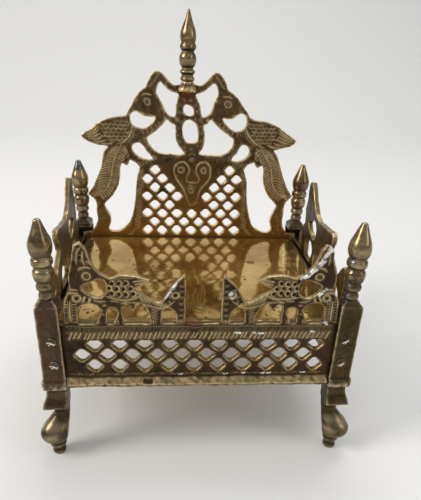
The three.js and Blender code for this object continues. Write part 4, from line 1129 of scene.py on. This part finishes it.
def seen_directly(t):
    """One for rays that come from the camera, from a mirror or through glass."""
    path = t.tree.nodes.new("ShaderNodeLightPath")
    seen = t.math("MAXIMUM", path.outputs["Is Camera Ray"], path.outputs["Is Glossy Ray"])
    return t.math("MAXIMUM", seen, path.outputs["Is Transmission Ray"])


def make_stage():
    """A plain pale floor that curves up into a backdrop."""
    half, front, turn, reach, top = 2.2, -1.6, 0.75, 0.5, 2.2
    angles = np.linspace(0, math.pi / 2, 17)[1:]
    profile = [(front, 0.0), (turn, 0.0)]
    profile += [(turn + reach * math.sin(a), reach - reach * math.cos(a)) for a in angles]
    profile.append((turn + reach, top))
    count = len(profile)
    mesh = bpy.data.meshes.new("floor")
    mesh.from_pydata(
        [(x, y, z) for x in (-half, half) for y, z in profile], [],
        [(i, count + i, count + i + 1, i + 1) for i in range(count - 1)],
    )
    mesh.shade_smooth()
    t = Tree("pale floor")
    mesh.materials.append(t.finish(t.add("ShaderNodeBsdfPrincipled", {
        "Base Color": rgba(0.7, 0.692, 0.675), "Roughness": 0.8,
        "Emission Color": rgba(0.98, 0.97, 0.95), "Emission Strength": t.times(seen_directly(t), 0.08),
    })))
    add_object("floor", mesh)


def make_lamp(name, place, target, size, power, color=(1.0, 1.0, 1.0)):
    data = bpy.data.lights.new(name, "AREA")
    data.shape = "RECTANGLE"
    data.size, data.size_y = size
    data.energy = power
    data.color = color
    lamp = bpy.data.objects.new(name, data)
    lamp.location = place
    lamp.rotation_euler = (Vector(target) - Vector(place)).to_track_quat("-Z", "Y").to_euler()
    bpy.context.scene.collection.objects.link(lamp)


def make_light():
    target = (0.0, 0.0, 0.08)
    make_lamp("key", (-0.99, -0.32, 0.83), target, (0.46, 0.72), 10.0, (1.0, 0.97, 0.93))
    make_lamp("fill", (0.75, -0.5, 0.45), target, (0.3, 0.5), 0.9)
    make_lamp("top", (0.15, 0.52, 1.24), target, (0.9, 0.6), 6.4)
    world = bpy.data.worlds.new("room")
    bpy.context.scene.world = world
    world.use_nodes = True
    tree = world.node_tree
    direction = tree.nodes.new("ShaderNodeTexCoord")
    parts = tree.nodes.new("ShaderNodeSeparateXYZ")
    tree.links.new(direction.outputs["Generated"], parts.inputs[0])
    rise = tree.nodes.new("ShaderNodeMapRange")
    tree.links.new(parts.outputs[2], rise.inputs[0])
    for index, value in enumerate((-0.1, 0.8, 0.24, 0.66), 1):
        rise.inputs[index].default_value = value
    background = tree.nodes["Background"]
    background.inputs[0].default_value = rgba(0.93, 0.95, 0.98)
    tree.links.new(rise.outputs[0], background.inputs[1])
    bpy.context.scene.view_settings.view_transform = "Standard"


def build_panels():
    bright = rgba(0.72, 0.54, 0.26)
    front_brass = brass("panel olive brown", rgba(0.024, 0.0155, 0.0085), rgba(0.062, 0.0395, 0.0195), bright,
                        (0.3, 0.46, 0.12), stain=rgba(0.09, 0.014, 0.008))
    back_brass = brass("panel warm brown", rgba(0.06, 0.037, 0.018), rgba(0.132, 0.084, 0.038),
                       rgba(0.84, 0.64, 0.33), (0.3, 0.44, 0.12), 0.8, warm=rgba(0.4, 0.2, 0.038),
                       stain=rgba(0.02, 0.034, 0.008))
    side_brass = brass("panel side brown", rgba(0.036, 0.026, 0.013), rgba(0.105, 0.078, 0.037), bright,
                       (0.28, 0.42, 0.12), 0.9)

    def front_distance(p):
        return np.where(p[:, 2] < MOULDING_TOP + 0.2, 0.0, p[:, 1] - FRONT_FACE)

    face = Face(front_relief(), 0, front_distance, (0, -1, 0))
    panel("front_panel", [face], front_brass, 50)
    panel("back_panel", [
        Face(back_relief(), 0, lambda p: p[:, 1] - BACK_INNER_FACE, (0, -1, 0)),
        Face(band_only_relief(), 0, lambda p: p[:, 1] - BACK_OUTER_FACE, (0, 1, 0)),
    ], back_brass, 60, 0.22, 11.0)
    relief = side_relief()
    for side, sign, slope, seed in (("right", 1, RIGHT_SPLAY, 70), ("left", -1, LEFT_SPLAY, 80)):
        def distance(p, sign=sign, slope=slope):
            return sign * p[:, 0] - SIDE_FACE - side_lean_at(p[:, 2], slope)

        face = Face(relief, 1, distance, (sign, 0, 0))
        panel(side + "_side_panel", [face], side_brass, seed, rim=0.4)


def build_corners():
    bright = rgba(0.8, 0.64, 0.38)
    shine = (0.26, 0.4, 0.08)
    posts = {
        -1: brass("post dark brown", rgba(0.04, 0.026, 0.015), rgba(0.085, 0.058, 0.034), bright, shine),
        1: brass("post dark olive", rgba(0.038, 0.028, 0.012), rgba(0.084, 0.064, 0.027), bright, shine),
    }
    polished = brass("finial polished", rgba(0.09, 0.062, 0.032), rgba(0.38, 0.285, 0.145),
                     rgba(0.94, 0.79, 0.5), (0.17, 0.3, 0.07), 0.8, 0.3, 0.95,
                     residue=(rgba(0.04, 0.048, 0.05), rgba(0.15, 0.178, 0.19)))
    hammered = brass("rivet hammered", rgba(0.045, 0.031, 0.018), rgba(0.095, 0.067, 0.04),
                     rgba(0.85, 0.79, 0.62), (0.24, 0.4, 0.12), 0.5, 0.3)
    foot = POST_TOP + CAP_RISE + FIT_GAP
    for index, (corner, right, back) in enumerate((
        ("front_left", -1, -1), ("front_right", 1, -1), ("rear_left", -1, 1), ("rear_right", 1, 1),
    )):
        post(corner, right, back, posts[right], 100 + index * 10)
        across = HALF_WIDTH + float(lean_at(foot)) - POST_WIDTH / 2
        base = (right * across, back * (HALF_DEPTH - POST_WIDTH / 2), foot)
        finial(corner + "_finial", CORNER_SHARES, CORNER_RADIUS, CORNER_RISE, base, right * LEAN, polished,
               140 + index, 0.85 * (corner == "rear_left"), 0.7 * (corner == "front_right"))
        for level in ("lower", "upper"):
            for face in ("face", "side"):
                rivet(f"{corner}_{level}_{face}_rivet", hammered, 160 + index * 4 + len(level) + len(face))
    low, high = (np.array(v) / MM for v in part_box("crown_finial"))
    middle = (low + high) / 2
    base = (middle[0], middle[1], high[2] - CROWN_RISE)
    finial("crown_finial", CROWN_SHARES, CROWN_RADIUS, CROWN_RISE, base, 0.0, polished, 150)


make_camera()
make_stage()
make_light()
build_panels()
build_corners()
seat(seat_material())
